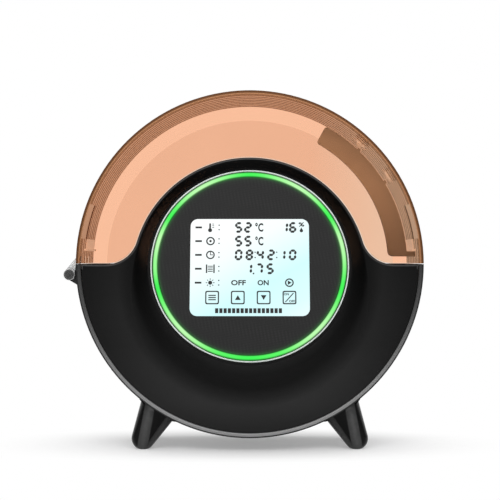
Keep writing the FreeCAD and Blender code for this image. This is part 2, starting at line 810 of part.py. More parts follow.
def make_lid():
    body = body_of("lid_moulding")
    section = level_sketch(body, "lid_section")
    rear_face = "drum_depth - lid_wall"
    polygon(section, [
        ("arch_radius - 20", "0"), ("drum_radius - rim_chamfer", "0"), ("drum_radius", "rim_chamfer"),
        ("drum_radius", "drum_depth"), ("0", "drum_depth"), ("0", f"{rear_face} - lid_step"),
        ("lid_step_radius", f"{rear_face} - lid_step"), ("lid_step_radius", rear_face), ("lid_inner", rear_face),
        ("lid_inner", "lid_wall"), ("arch_radius - 20", "lid_wall"),
    ])
    drum = revolve(body, "lid_drum", section, "180", True)
    rear_edge = value("drum_depth")
    outer = value("drum_radius")
    soften(body, "Fillet", "lid_rear_round", drum,
           lambda edge: at_depth(edge, rear_edge) and is_round(edge, outer), "Radius", "lid_round")
    tooth = level_sketch(body, "rib_section")
    rectangle(tooth, "lid_inner - rib_rise", "lid_inner + 0.5", "rib_start", "rib_start + rib_width")
    rib = revolve(body, "inner_rib", tooth, "180", True)
    repeat_along(body, "inner_ribs", rib, "Y_Axis", "rib_pitch * (rib_count - 1)", "rib_count")
    parting = depth_sketch(body, "parting_strip", "-1")
    rectangle(parting, "-(drum_radius + 5)", "drum_radius + 5", "-3", "parting_gap")
    pocket(body, "parting", parting, "drum_depth + 2")
    cutout = depth_sketch(body, "arch_cutout_line", "-1")
    half = "drum_radius - 6"
    left, right = arch_chain(cutout, half, "arch_radius + parting_gap", "flare_radius - parting_gap", "parting_gap")
    hold(cutout, right, 2, (half,), ("DistanceX",))
    low_left = (f"-({half})", "-4")
    low_right = (half, "-4")
    side_right = line(cutout, (half, "parting_gap"), low_right)
    floor = line(cutout, low_right, low_left)
    side_left = line(cutout, low_left, (f"-({half})", "parting_gap"))
    for one, one_end, other, other_end in ((right, 2, side_right, 1), (side_right, 2, floor, 1),
                                           (floor, 2, side_left, 1), (side_left, 2, left, 1)):
        meet(cutout, one, one_end, other, other_end, "Coincident")
    hold(cutout, floor, 1, low_right)
    hold(cutout, floor, 2, low_left)
    pocket(body, "arch_cutout", cutout, "lid_wall + 1.5")
    reach = "knuckle_width / 2 + lug_gap"
    for word in ("front", "rear"):
        starts = {"near": f"station_{word} - ({reach}) - lug_width", "far": f"station_{word} + {reach}"}
        for place, start in starts.items():
            web = depth_sketch(body, f"lug_web_{word}_{place}", start)
            polygon(web, [
                ("-(drum_radius - 1)", "lug_top"), ("-(drum_radius - 1)", "parting_gap"),
                ("-(drum_radius + 0.7)", "parting_gap"),
                ("-(hinge_out - 0.95 * knuckle_radius)", "-(hinge_down - 0.3 * knuckle_radius)"),
                ("-hinge_out", "-hinge_down"),
                ("-(hinge_out + 0.8 * knuckle_radius)", "-(hinge_down - 0.6 * knuckle_radius)"),
            ])
            pad_deeper(body, f"lug_{word}_{place}", web, "lug_width")
            disc = depth_sketch(body, f"lug_disc_{word}_{place}", start)
            circle(disc, "-hinge_out", "-hinge_down", "knuckle_radius")
            pad_deeper(body, f"lug_barrel_{word}_{place}", disc, "lug_width")
            bore = depth_sketch(body, f"lug_hole_{word}_{place}", start)
            circle(bore, "-hinge_out", "-hinge_down", "pin_radius + pin_fit_lid")
            pocket(body, f"lug_bore_{word}_{place}", bore, "lug_width")
    pads = []
    for word, angle, span in LID_PADS:
        for side, start in (("right", angle), ("left", 180 - angle - span)):
            pads.append(segment(f"side_{word}_{side}", "lid_inner + pad_bite", f"lid_inner - {word}_rise",
                                start, span, f"{word}_start", f"{word}_length"))
    drills = []
    for word in ("upper", "lower"):
        angle = f"outlet_{word}"
        drills.append(cylinder(f"outlet_drill_{word}", "grommet_body + grommet_gap", "3 * lid_wall",
                               outlet_spot(angle, "drum_radius - 2 * lid_wall"), outlet_turn(angle)))
        drills.append(cylinder(f"outlet_spot_{word}", "grommet_flange + flange_room", "lid_wall",
                               outlet_spot(angle, "lid_inner - flange_gap - lid_wall"), outlet_turn(angle)))
    return cut("lid_shell", fuse("lid_solid", [body] + pads), drills)


# Brown guide plate inside the right of the lid, held at its foot and at its top tab
def make_guide():
    rim = doc.addObject("Part::Cylinder", "guide_rim")
    bind(rim, "Radius", "guide_outer")
    bind(rim, "Height", "guide_thick")
    rim.Angle = 57
    rim.Placement = FreeCAD.Placement(FreeCAD.Vector(), FreeCAD.Rotation(0, -3, 90))
    bind(rim, "Placement.Base.y", "guide_depth + guide_thick")
    foot_end = "sqrt(lid_inner ^ 2 - guide_foot_top ^ 2) - rib_rise - guide_fit"
    foot = box("guide_foot", (f"{foot_end} - guide_inner - 4", "guide_thick", "guide_foot_height"),
               ("guide_inner + 4", "guide_depth", "guide_foot_top - guide_foot_height"))
    tab = box("guide_tab", ("lid_inner - rib_rise - guide_fit - guide_outer + 3", "guide_thick", "guide_tab_width"),
              outlet_spot("57", "guide_outer - 3", "guide_depth"), ((0, -1, 0), "57"))
    core = cylinder("guide_core", "guide_inner", "guide_thick", ("0", "guide_depth", "0"), DEEPER)
    notches = []
    for word in ("upper", "lower"):
        notches.append(cylinder(f"guide_notch_{word}", "notch_radius", "guide_thick",
                                outlet_spot(f"outlet_{word}", "guide_outer", "guide_depth"), DEEPER))
    arm = cut("guide_arm", rim, [core] + notches)
    return fuse("guide_plate", [arm, foot, tab])


def make_outlets():
    for word in ("upper", "lower"):
        body = body_of(f"outlet_grommet_{word}")
        section = sketch(body, f"grommet_section_{word}", "XZ_Plane")
        inner_top = "-(lid_wall + flange_gap)"
        polygon(section, [
            ("outlet_bore", "flange_thick"), ("grommet_flange", "flange_thick"), ("grommet_flange", "0"),
            ("grommet_body", "0"), ("grommet_body", inner_top), ("grommet_flange", inner_top),
            ("grommet_flange", f"{inner_top} - flange_thick"), ("outlet_bore", f"{inner_top} - flange_thick"),
        ])
        revolve(body, f"grommet_{word}", section)
        piece(body, outlet_spot(f"outlet_{word}", "drum_radius"), outlet_turn(f"outlet_{word}"))
    plug = body_of("outlet_plug")
    section = sketch(plug, "plug_section", "XZ_Plane")
    under = "flange_thick + plug_lift"
    top = f"{under} + plug_cap"
    polygon(section, [
        ("0", "-plug_length"), ("outlet_bore - plug_fit - 0.35", "-plug_length"),
        ("outlet_bore - plug_fit", "-plug_length + 1"), ("outlet_bore - plug_fit", under),
        ("grommet_flange - 1", under), ("grommet_flange - 1", f"{top} - 0.8"), ("grommet_flange - 2", top),
        ("0", top),
    ])
    revolve(plug, "plug_turned", section)
    piece(plug, outlet_spot("outlet_upper", "drum_radius"), outlet_turn("outlet_upper"))


def make_hinge_pins():
    length = "knuckle_width + 2 * (lug_gap + lug_width)"
    pins = []
    for word in ("front", "rear"):
        spot = ("-hinge_out", f"station_{word} - ({length}) / 2", "-hinge_down")
        pins.append(cylinder(f"hinge_pin_{word}", "pin_radius", length, spot, DEEPER))
    return group("hinge_pins", pins)


def make_gasket():
    body = body_of("lid_gasket")
    line_drawn = level_sketch(body, "gasket_line", "-groove_depth")
    gasket_outline(line_drawn, "gasket_gap")
    pad_up(body, "gasket_strip", line_drawn, "groove_depth + gasket_rise")
    return body


# Floor tray over the fan and the heaters
def make_tray():
    body = body_of("floor_tray")
    sheet_line = level_sketch(body, "tray_line", "-tray_bottom")
    rectangle(sheet_line, "-tray_half", "tray_half", "plate_thick + tray_gap", "drum_depth - rear_wall - tray_gap")
    pad_up(body, "tray_sheet", sheet_line, "tray_thick")
    holes = level_sketch(body, "tray_holes", "-tray_drop")
    for count, radius in ((1, "0"), (6, "grille_first"), (12, "grille_second")):
        for x, y in ring_spots(radius, [360 / count * k for k in range(count)]):
            circle(holes, x, f"{y} + drum_depth / 2", "grille_hole")
    for side in (-1, 1):
        for depth in TRAY_SCREW_DEPTHS:
            circle(holes, f"{side} * (tray_half - tray_screw_inset)", depth, "screw_radius + seat_gap")
    pocket(body, "tray_bores", holes, "tray_thick")
    slot = level_sketch(body, "tray_slot_line", "-tray_drop")
    for side in (-1, 1):
        rectangle(slot, f"{side} * (heater_start + 2)", f"{side} * (heater_start + heater_width - 4)",
                  f"{HEATER_FIRST} + 3", f"{HEATER_FIRST} + 3 + slot_width")
    first = pocket(body, "tray_slot", slot, "tray_thick")
    repeat_along(body, "tray_slots", first, "Y_Axis", "heater_length - 10", "slot_count")
    return body


def make_tray_screws():
    screws = []
    for word, side in SIDES:
        for k, depth in enumerate(TRAY_SCREW_DEPTHS):
            spot = (f"{side} * (tray_half - tray_screw_inset)", depth, "-tray_drop")
            screws.append(screw(f"tray_screw_{word}_{k}", "screw_radius", "tray_screw_length", spot))
    return group("tray_screws", screws)


def make_heater(word, side):
    body = body_of(f"heater_{word}")
    low = f"{side} * heater_start"
    high = f"{side} * (heater_start + heater_width)"
    top = level_sketch(body, f"heater_top_{word}", "-(tray_bottom + heater_plate)")
    rectangle(top, low, high, HEATER_FIRST, f"{HEATER_FIRST} + heater_length")
    pad_up(body, f"heater_plate_{word}", top, "heater_plate")
    fin = level_sketch(body, f"fin_line_{word}", "-(tray_bottom + heater_rise)")
    rectangle(fin, low, high, HEATER_FIRST, f"{HEATER_FIRST} + fin_thick")
    first = pad_up(body, f"fin_{word}", fin, "heater_rise - heater_plate / 2")
    repeat_along(body, f"fins_{word}", first, "Y_Axis", "heater_length - fin_thick", "fin_count")
    return body


def make_fan():
    low = "-(tray_bottom + fan_depth)"
    middle = "drum_depth / 2"
    block = box("fan_block", ("fan_size", "fan_size", "fan_depth"),
                ("-fan_size / 2", f"{middle} - fan_size / 2", low))
    holes = [cylinder("fan_hole", "fan_bore", "fan_depth", ("0", middle, low))]
    corner = "fan_size / 2 - fan_corner"
    for sx in (-1, 1):
        for sy in (-1, 1):
            holes.append(cylinder(f"fan_corner_{sx + 1}_{sy + 1}", "screw_radius + screw_gap", "fan_depth",
                                  (f"{sx} * ({corner})", f"{middle} + {sy} * ({corner})", low)))
    frame = cut("fan_shroud", block, holes)
    cup = cylinder("fan_cup", "hub_radius", "cup_thick", ("0", middle, low))
    struts = []
    for k in range(3):
        struts.append(box(f"fan_strut_{k}", ("fan_bore - hub_radius + 2", "strut_width", "strut_thick"),
                          (f"(hub_radius - 1) * cos({120 * k + 30})",
                           f"{middle} + (hub_radius - 1) * sin({120 * k + 30})", low),
                          ((0, 0, 1), f"{120 * k + 30}")))
    shaft_hole = cylinder("fan_shaft_hole", "shaft_radius + shaft_fit", "cup_thick", ("0", middle, low))
    piece(cut("fan_frame", fuse("fan_frame_solid", [frame, cup] + struts), [shaft_hole]))
    rotor = body_of("fan_rotor")
    hub = level_sketch(rotor, "hub_disc", "-3.1")
    circle(hub, "0", "0", "hub_radius")
    pad_up(rotor, "hub", hub, "6.6")
    shaft = level_sketch(rotor, "shaft_disc", "-5.2")
    circle(shaft, "0", "0", "shaft_radius")
    pad_up(rotor, "shaft", shaft, "3")
    blade_line = sketch(rotor, "blade_line", "YZ_Plane", "hub_radius - 0.5")
    polygon(blade_line, [("-3.2", "-2.6"), ("-1.9", "-2.6"), ("3.2", "3"), ("1.9", "3")])
    blade = pad_up(rotor, "blade", blade_line, "fan_bore - hub_radius - blade_gap")
    blades = rotor.newObject("PartDesign::PolarPattern", "blades")
    blades.Originals = [blade]
    blades.Axis = (origin_part(rotor, "Z_Axis"), [""])
    blades.Angle = 360
    bind(blades, "Occurrences", "blade_count")
    rotor.Tip = blades
    piece(rotor, ("0", middle, f"{low} + 5.4"))


# Spool rollers on their axles
def make_roller_side(word, side):
    shift = f"{side} * roller_out"
    body = body_of(f"roller_bracket_{word}")
    seat = "-(tray_drop - roller_drop)"
    first = "roller_start + roller_length + bracket_space"
    last = "drum_depth - (roller_start + roller_length + bracket_space)"
    foot = level_sketch(body, f"bracket_foot_line_{word}", seat)
    rectangle(foot, f"{side} * -bracket_in", f"{side} * bracket_half", first, last)
    pad_up(body, f"bracket_foot_{word}", foot, "bracket_base")
    for place, start in (("front", first), ("rear", f"{last} - bracket_wall")):
        wall = depth_sketch(body, f"bracket_wall_{word}_{place}", start)
        rectangle(wall, "-bracket_half", "bracket_half", seat, "0")
        pad_deeper(body, f"bracket_side_{word}_{place}", wall, "bracket_wall")
        crown = depth_sketch(body, f"bracket_crown_{word}_{place}", start)
        circle(crown, "0", "0", "bracket_half")
        pad_deeper(body, f"bracket_top_{word}_{place}", crown, "bracket_wall")
        bore = depth_sketch(body, f"bracket_hole_{word}_{place}", start)
        circle(bore, "0", "0", "axle_radius + axle_fit")
        pocket(body, f"bracket_bore_{word}_{place}", bore, "bracket_wall")
    piece(body, (shift, "0", "-roller_drop"))
    end = "roller_start - axle_end"
    axle = cylinder(f"roller_axle_{word}", "axle_radius", f"drum_depth - 2 * ({end})", turn=DEEPER)
    piece(axle, (shift, end, "-roller_drop"), DEEPER)
    for place, start in (("front", "roller_start"), ("rear", "drum_depth - roller_start - roller_length")):
        wheel = body_of(f"roller_{place}_{word}")
        section = level_sketch(wheel, f"roller_section_{place}_{word}")
        bore_radius = "axle_radius + roller_fit"
        polygon(section, [
            (bore_radius, "0"), ("roller_radius - roller_edge", "0"), ("roller_radius", "roller_edge"),
            ("roller_radius", "roller_length - roller_edge"), ("roller_radius - roller_edge", "roller_length"),
            (bore_radius, "roller_length"),
        ])
        revolve(wheel, f"roller_turned_{place}_{word}", section)
        piece(wheel, (shift, start, "-roller_drop"))


def make_clips():
    clips = []
    for word, side in SIDES:
        starts = {"front": "roller_start - clip_gap - clip_thick", "rear": "drum_depth - roller_start + clip_gap"}
        for place, start in starts.items():
            spot = (f"{side} * roller_out", start, "-roller_drop")
            clips.append(ring(f"clip_{place}_{word}", "2 * axle_radius", "axle_radius + axle_fit", "clip_thick",
                              spot, DEEPER))
    return group("axle_clips", clips)


# Feet with their saddles, pads and screws
def make_foot(name, side, depth):
    below = "foot_tip * sin(foot_flare)"
    x, z = foot_axis_spot(side, f"-{below}")
    cone = doc.addObject("Part::Cone", name + "_cone")
    bind(cone, "Radius1", "foot_tip * cos(foot_flare)")
    bind(cone, "Radius2", f"foot_tip * cos(foot_flare) + (foot_length + {below}) * tan(foot_flare)")
    bind(cone, "Height", f"foot_length + {below}")
    put(cone, (x, depth, z), foot_turn(side))
    ball = doc.addObject("Part::Sphere", name + "_ball")
    bind(ball, "Radius", "foot_tip")
    x, z = foot_axis_spot(side, "0")
    put(ball, (x, depth, z), foot_turn(side))
    x, z = foot_axis_spot(side, "10")
    patch = cylinder(name + "_patch", "saddle_radius", "24", (x, depth, z), foot_turn(side))
    shell = cylinder(name + "_shell", "drum_radius + saddle_thick", "drum_depth", ("0", "0", "0"), DEEPER)
    saddle = common(name + "_saddle", [patch, shell])
    drum = cylinder(name + "_drum", "drum_radius", "drum_depth + 40", ("0", "-20", "0"), DEEPER)
    floor = box(name + "_floor", ("60", "60", "20"),
                (f"{side} * foot_out - 30", f"{depth} - 30", "-axis_height - 20 + foot_lift"))
    recess = cylinder(name + "_recess", "foot_pad_radius + foot_pad_gap", "foot_pad_thick",
                      (f"{side} * foot_out", depth, "-axis_height"))
    x, z = foot_axis_spot(side, "foot_seat - 12")
    pilot = cylinder(name + "_pilot", "screw_radius + foot_screw_extra + pilot_gap", "foot_screw_length + 2",
                     (x, depth, z), foot_turn(side))
    return cut(name, fuse(name + "_solid", [cone, ball, saddle]), [drum, floor, recess, pilot])


def make_foot_trim():
    pads = []
    screws = []
    for name, side, depth in FOOT_PLACES:
        spot = (f"{side} * foot_out", depth, "-axis_height")
        pads.append(cylinder(name + "_pad", "foot_pad_radius", "foot_pad_thick", spot))
        x, z = foot_axis_spot(side, "foot_seat + 0.5")
        screws.append(screw(name + "_screw", "screw_radius + foot_screw_extra", "foot_screw_length",
                            (x, depth, z), foot_turn(side)))
    return group("foot_pads", pads), group("foot_screws", screws)


def make_cover_screws():
    screws = []
    for k, (x, z) in enumerate(ring_spots("boss_ring", EAR_ANGLES)):
        spot = (x, "ear_depth + ear_thick", z)
        screws.append(screw(f"cover_screw_{k}", "screw_radius", "cover_screw_length", spot, DEEPER))
    return group("cover_screws", screws)


def make_back_screws():
    screws = []
    for k, (x, z) in enumerate(ring_spots("post_ring", POST_ANGLES, "arch_drop")):
        spot = (x, "plate_thick + cover_thick", z)
        screws.append(screw(f"back_screw_{k}", "screw_radius", "cover_screw_length", spot, DEEPER))
    return group("back_cover_screws", screws)


def make_sensor():
    plate = box("sensor_plate", ("22", "1.2", "18"), ("-11", "plate_thick - 1.2", "-65"))
    chip = box("sensor_chip", ("8", "3", "8"), ("-4", "plate_thick - 4.2", "-60"))
    return fuse("humidity_sensor", [plate, chip])


def make_fuse_link():
    spot = ("-heater_start + 2", f"{HEATER_FIRST} + 46", "-(tray_bottom + 5)")
    body = cylinder("thermal_link", "2", "11", spot, DEEPER)
    strap = box("thermal_strap", ("4", "4", "5"), ("-heater_start", f"{HEATER_FIRST} + 49", "-(tray_bottom + 5)"))
    return fuse("thermal_fuse", [body, strap])


# Low-voltage inlet in the rear wall, its socket open to the back
def make_jack():
    wall = "drum_depth - rear_wall"
    nose = cylinder("jack_nose", "jack_radius", "rear_wall + 1", ("0", f"{wall} - 1", "-jack_drop"), DEEPER)
    block = box("jack_block", ("10", "12", "10.6"), ("-5", f"{wall} - 12", "-jack_drop - 5.3"))
    mouth = "drum_depth - socket_depth"
    socket = cylinder("jack_socket", "socket_radius", "socket_depth", ("0", mouth, "-jack_drop"), DEEPER)
    pin = cylinder("jack_pin", "contact_radius", "socket_depth - 1", ("0", f"{mouth} - 0.5", "-jack_drop"), DEEPER)
    hollow = cut("jack_shell", fuse("jack_solid", [nose, block]), [socket])
    return fuse("dc_jack", [hollow, pin])


piece(make_tub())
piece(make_front_cover())
piece(make_back_cover())
make_screen()
make_boards()
piece(make_lid())
piece(make_guide())
make_outlets()
piece(make_hinge_pins())
piece(make_gasket())
piece(make_tray())
piece(make_tray_screws())
make_fan()
for word, side in SIDES:
    piece(make_heater(word, side))
    make_roller_side(word, side)
piece(make_clips())
for name, side, depth in FOOT_PLACES:
    piece(make_foot(name, side, depth))
for trim in make_foot_trim():
    piece(trim)
piece(make_cover_screws())
piece(make_back_screws())
piece(make_sensor())
piece(make_fuse_link())
piece(make_jack())
doc.recompute()

# Every object must be sound before any piece is written
for thing in doc.Objects:
    if "Invalid" in thing.State or "Error" in thing.State:
        raise RuntimeError(f"{thing.Name} did not build: {thing.State}")
for thing in PIECES:
    if thing.Shape.isNull() or not thing.Shape.isValid():
        raise RuntimeError(f"{thing.Label} has no sound shape")
for thing in PIECES:
    thing.Shape.exportStep(f"parts/{thing.Label}.step")
print(len(PIECES), "pieces written")
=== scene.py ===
import bpy
import json
import math
from collections import namedtuple
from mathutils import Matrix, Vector

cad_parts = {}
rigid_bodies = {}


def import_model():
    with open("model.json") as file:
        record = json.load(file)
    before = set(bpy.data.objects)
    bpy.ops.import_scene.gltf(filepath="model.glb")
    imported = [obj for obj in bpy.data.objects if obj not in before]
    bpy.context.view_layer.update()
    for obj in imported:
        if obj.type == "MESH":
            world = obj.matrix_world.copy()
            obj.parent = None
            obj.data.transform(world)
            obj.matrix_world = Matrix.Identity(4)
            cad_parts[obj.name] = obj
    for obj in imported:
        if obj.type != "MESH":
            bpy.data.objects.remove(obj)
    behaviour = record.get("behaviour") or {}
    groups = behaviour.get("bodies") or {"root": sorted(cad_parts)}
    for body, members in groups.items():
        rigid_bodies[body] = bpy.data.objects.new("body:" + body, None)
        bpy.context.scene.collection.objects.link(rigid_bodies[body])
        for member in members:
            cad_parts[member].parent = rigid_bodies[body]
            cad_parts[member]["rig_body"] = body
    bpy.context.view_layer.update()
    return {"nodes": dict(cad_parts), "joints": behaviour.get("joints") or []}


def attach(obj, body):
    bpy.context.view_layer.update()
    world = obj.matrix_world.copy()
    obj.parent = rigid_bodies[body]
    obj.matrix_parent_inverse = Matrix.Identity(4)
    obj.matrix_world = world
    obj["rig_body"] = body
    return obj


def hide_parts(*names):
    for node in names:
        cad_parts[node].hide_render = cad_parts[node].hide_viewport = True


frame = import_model()
nodes = frame["nodes"]
body_of_node = {node: nodes[node]["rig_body"] for node in nodes}

# The drum's own frame: across, deeper from the front face, and up from the drum axis, in millimetres
MM = 0.001
HINGE_PLACE = (-136.1, 44.0, -7.9)
hinge = [joint for joint in frame["joints"] if joint["name"] == "lid_hinge"][0]
HOME = Vector(hinge["pos_m"]) - Vector(HINGE_PLACE) * MM

# Front plate: an arch, two flares, two flats and a bowl, each drawn in a number of parts
DRUM_RADIUS = 130.0
PLATE_RADIUS = DRUM_RADIUS - 4.3
PLATE_THICK = 2.5
ARCH_RADIUS = 88.0
ARCH_DROP = 8.4
ARCH_ROUND = 1.6
BOWL_ROUND = 0.35
ROUND_STEPS = 4
FLARE_RADIUS = 24.0
ARCH_PARTS = 96
FLARE_PARTS = 24
FLAT_PARTS = 6
BOWL_PARTS = 132
AROUND = ARCH_PARTS + 2 * (FLARE_PARTS + FLAT_PARTS) + BOWL_PARTS
BOWL_FIRST = ARCH_PARTS + FLARE_PARTS + FLAT_PARTS + 2
BOWL_LAST = BOWL_FIRST + BOWL_PARTS - 4
EDGE_INSET = 2.0
EVEN_PASSES = 30
BLEND_PASSES = 4
BOSS_RING = 121.0
BOSS_ANGLES = (-12, -48, -132, -168)
BOSS_RADIUS = 4.0
BOSS_BORE = 1.2
BOSS_START = 1.0
BOSS_END = 9.0
BOSS_ROUND = 0.3
BOSS_STEPS = 32

# Pod and what it holds
POD_TILT = math.radians(15)
POD_REACH = 24.0
POD_BASE_RADIUS = 85.4
POD_LIP_RADIUS = 74.4
POD_BASE_WALL = 2.4
POD_LIP_WALL = 4.1
LIP_ROUND = 0.8
LIP_INSET = 0.25
POD_STEPS = 16
POD_STRAIGHT = 0.3
RUN_LEAST = 0.6
RUN_MORE = 13.0
RUN_FROM = math.radians(20)
RUN_OVER = math.radians(75)
TRIM_RADIUS = 72.0
TRIM_WIDTH = 1.0
TRIM_PROUD = 0.5
SEAT_RADIUS = TRIM_RADIUS + 0.2
SEAT_DEPTH = 4.5
SEAT_ROUND = 0.3
LEDGE_OPENING = 62.5
LEDGE_THICK = 2.0
LIGHT_RADIUS = 70.4
LIGHT_WIDTH = 3.5
LIGHT_BACK = -3.3
LIGHT_PROUD = 0.3
RING_STEPS = 192
FASCIA_RADIUS = 66.6
SCREEN_OUT = -0.5

# Lid and guide plate
LID_INNER = 127.42
RIM_FROM = 123.5
RIB_TOP = 126.7
RIB_FOOT = 127.4
RIBS_FRONT = 9.0
RIBS_BACK = 78.0
WALL_FRONT = 2.6
WALL_FOOT = 127.6
BEVEL_DEEP = 3.0
LID_EDGE_FROM = 127.05
TUB_EDGE_FROM = 126.2
LUG_FROM = DRUM_RADIUS + 0.05
LUG_LEFT = -125.0
LUG_TOP = 0.25
SEAM_LEFT = -129.5
SEAM_TOP = 0.61
# Zones inside the lid wall: depth from and to, least radius, and degrees up from the axis from and to
PAD_ZONE = (30.9, 73.1, 125.5, 5.0, 8.8)
LEDGE_ZONE = (21.5, 74.6, 123.5, 4.5, 5.4)
STRIP_ZONE = (3.9, 28.1, 125.9, 8.6, 20.8)
CAD_STEP = 118.7
LID_STEP = 116.3
STEP_FRONT = 84.5
STEP_BACK = 85.2
REAR_DEEP = 80.0
OUTLET_ANGLES = (47.5, 32.5)
OUTLET_DEEP = HINGE_PLACE[1]
OUTLET_RADIUS = 7.2
GUIDE_OUTER = 119.6
GUIDE_INNER = 104.9
GUIDE_FRONT = 17.0
GUIDE_THICK = 3.0
GUIDE_BEVEL = 0.7
GUIDE_TOP = 60.0
GUIDE_CORNER = 2.5
GUIDE_CORNER_TURN = 1.2
GUIDE_FOOT = (5.8, 10.0)
FOOT_END = 125.9
FOOT_CURVE = (4.5, 4.0)
STEP_RISE = 1.6
STEP_BEFORE = (2.0, 0.4)
ARC_STEPS = 12
INNER_STEPS = 48
CURVE_STEPS = 7

# Camera and light
CAMERA_AWAY = 900.0
CAMERA_RIGHT = 0.9
CAMERA_UP = 5.5
SENSOR_WIDTH = 36.0
PIXELS_PER_MM = 1.343
PICTURE_WIDTH = 500
PICTURE_SHIFT = (-0.002, 0.0137)
LIGHT_LEVEL = 0.6
FLOOR_SIZE = 12.0
FLOOR_SHADE_MIDDLE = (0, 0.02, 0)
FLOOR_SHADE_REACH = (0.225, 0.092, 1)
# Lamps: name, place and aim in metres, power, width and height
LAMPS = [("front_softbox", (0.0, -1.3, 1.4), (0, 0, 0.05), 20, 1.8, 1.0),
         ("overhead_softbox", (0.0, 0.1, 1.7), (0, 0, 0.1), 5, 2.0, 1.6),
         ("left_strip", (-0.75, -1.1, 0.35), (0, 0, 0.1), 1.5, 0.25, 0.9),
         ("right_strip", (0.75, -1.1, 0.35), (0, 0, 0.1), 1.2, 0.25, 0.9)]
# What gloss sees round the object: degrees from straight ahead, and brightness
STUDIO_GLOSS = [(-180, 1.0), (-125, 1.0), (-105, 0.2), (-52, 0.2), (-42, 1.4), (-22, 1.4), (-12, 0.3),
                (14, 0.3), (26, 0.3), (36, 0.7), (46, 0.7), (56, 0.2), (105, 0.2), (125, 1.0), (180, 1.0)]
# Paleness of the light round its ring: degrees, and share of the pale colour
RING_PALENESS = [(-180, 0.55), (-165, 0.0), (-135, 1.0), (-105, 0.1), (-90, 0.0), (-75, 0.1), (-45, 1.0),
                 (-15, 0.0), (15, 1.0), (32, 0.0), (58, 1.0), (90, 0.0), (122, 1.0), (148, 0.0), (165, 1.0),
                 (180, 0.55)]
# Where the lid's painted light, which pales it to the right, starts and is full, right of the drum axis
PALER_FROM = 50.0
PALER_TO = 105.0
GRAIN = 1400
# So long, in metres, that a gradient doesn't change along it
FAR = 1000

# Screen marks, right and up from the middle of the screen
INK_RISE = 0.05
ROW_TOP = 28.1
ROW_STEP = 10.4
DASHES = (-39.7, -34.9)
DASH_HALF = 0.7
ICONS = -28.6
COLONS = -22.4
COLON_GAP = 1.7
VALUES = -10.85
HEAT_STEP = 6.8
DAMP_LEFT = 22.5
DAMP_STEP = 6.2
TIME_COLONS = (3.9, 19.6)
TIME_GAP = 2.0
SIZE_LEFT = -3.7
DIGIT_WIDTH = 5.5
DIGIT_HEIGHT = 8.2
DIGIT_STROKE = 1.75
DIGIT_STEP = 7.85
DIGIT_GAP = 0.2
DIGIT_LEAN = 0.07
DOT_HALF = 0.45
HOOP_RADIUS = 3.2
KEYS = (-27.1, -8.6, 10.0, 28.6)
KEY_SIZE = 10.0
KEY_LINE = 0.9
KEY_ROW = -24.5
MENU_HALF = 2.7
TRIANGLE_SIZE = 2.1
BAR_COUNT = 16
BAR_LEFT = -24.9
BAR_STEP = 3.05
BAR_WIDTH = 2.3
BAR_LOW = -36.0
BAR_HIGH = -32.4
DEGREE_SIGN = chr(176)


def spot(x, deep, z):
    return Vector((x, deep, z)) * MM + HOME


# A place on the tilted screen: right, up along its face, and out from it
def on_pod(right, up, out=0.0):
    deep = -POD_REACH + up * math.sin(POD_TILT) - out * math.cos(POD_TILT)
    return spot(right, deep, up * math.cos(POD_TILT) + out * math.sin(POD_TILT))


DRUM_TURN = (math.radians(90), 0, 0)
POD_TURN = (math.radians(90) - POD_TILT, 0, 0)
POD_CENTRE = on_pod(0, 0)


def take(thing):
    bpy.ops.object.select_all(action="DESELECT")
    thing.select_set(True)
    bpy.context.view_layer.objects.active = thing


def edit(thing, choose="SELECT"):
    take(thing)
    bpy.ops.object.mode_set(mode="EDIT")
    if choose:
        bpy.ops.mesh.select_all(action=choose)


def leave_edit():
    bpy.ops.object.mode_set(mode="OBJECT")


def rename(thing, name):
    thing.name = name
    thing.data.name = name


def settle(thing, kind, **settings):
    take(thing)
    step = thing.modifiers.new(kind.lower(), kind)
    for name, value in settings.items():
        setattr(step, name, value)
    bpy.ops.object.modifier_apply(modifier=step.name)


def smooth(thing, angle):
    take(thing)
    bpy.ops.object.shade_smooth_by_angle(angle=math.radians(angle))


# Smooth curves, with large flat faces kept flat
def smooth_curves(thing, angle):
    smooth(thing, angle)
    settle(thing, "WEIGHTED_NORMAL", keep_sharp=True, weight=80)


def belongs(thing, body, slot, *replaced):
    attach(thing, body)
    if replaced:
        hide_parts(*replaced)
    return thing


def paint(thing, *finishes):
    thing.data.materials.clear()
    for finish in finishes:
        thing.data.materials.append(finish)


# Where a face lies, how many degrees it is up from the drum axis on its side, and where it points
FacePlace = namedtuple("FacePlace", "x deep z radius rise normal")


# Faces of a piece take another of its finishes by their place
def repaint(thing, number, wanted):
    for face in thing.data.polygons:
        x, deep, z = (face.center - HOME) / MM
        rise = math.degrees(math.atan2(z, abs(x)))
        if wanted(FacePlace(x, deep, z, math.hypot(x, z), rise, face.normal)):
            face.material_index = number


# Camera straight on, a little over the height of the drum axis
def set_camera():
    data = bpy.data.cameras.new("front_camera")
    data.sensor_width = SENSOR_WIDTH
    data.lens = SENSOR_WIDTH * PIXELS_PER_MM * CAMERA_AWAY / PICTURE_WIDTH
    data.shift_x, data.shift_y = PICTURE_SHIFT
    camera = bpy.data.objects.new("front_camera", data)
    camera.location = spot(CAMERA_RIGHT, -CAMERA_AWAY, CAMERA_UP)
    camera.rotation_euler = DRUM_TURN
    bpy.context.collection.objects.link(camera)
    bpy.context.scene.camera = camera


# Node helpers, for a finish or for the world
def new_finish(name):
    made = bpy.data.materials.new(name)
    made.use_nodes = True
    return made


def add(made, kind):
    return made.node_tree.nodes.new(kind)


def link(made, source, socket):
    made.node_tree.links.new(source, socket)


def show(made, shader):
    link(made, shader.outputs[0], made.node_tree.nodes["Material Output"].inputs["Surface"])


def surface(made, **sockets):
    shader = made.node_tree.nodes["Principled BSDF"]
    for name, value in sockets.items():
        shader.inputs[name.replace("_", " ")].default_value = value
    return shader


def grey(level):
    return (level, level, level, 1)


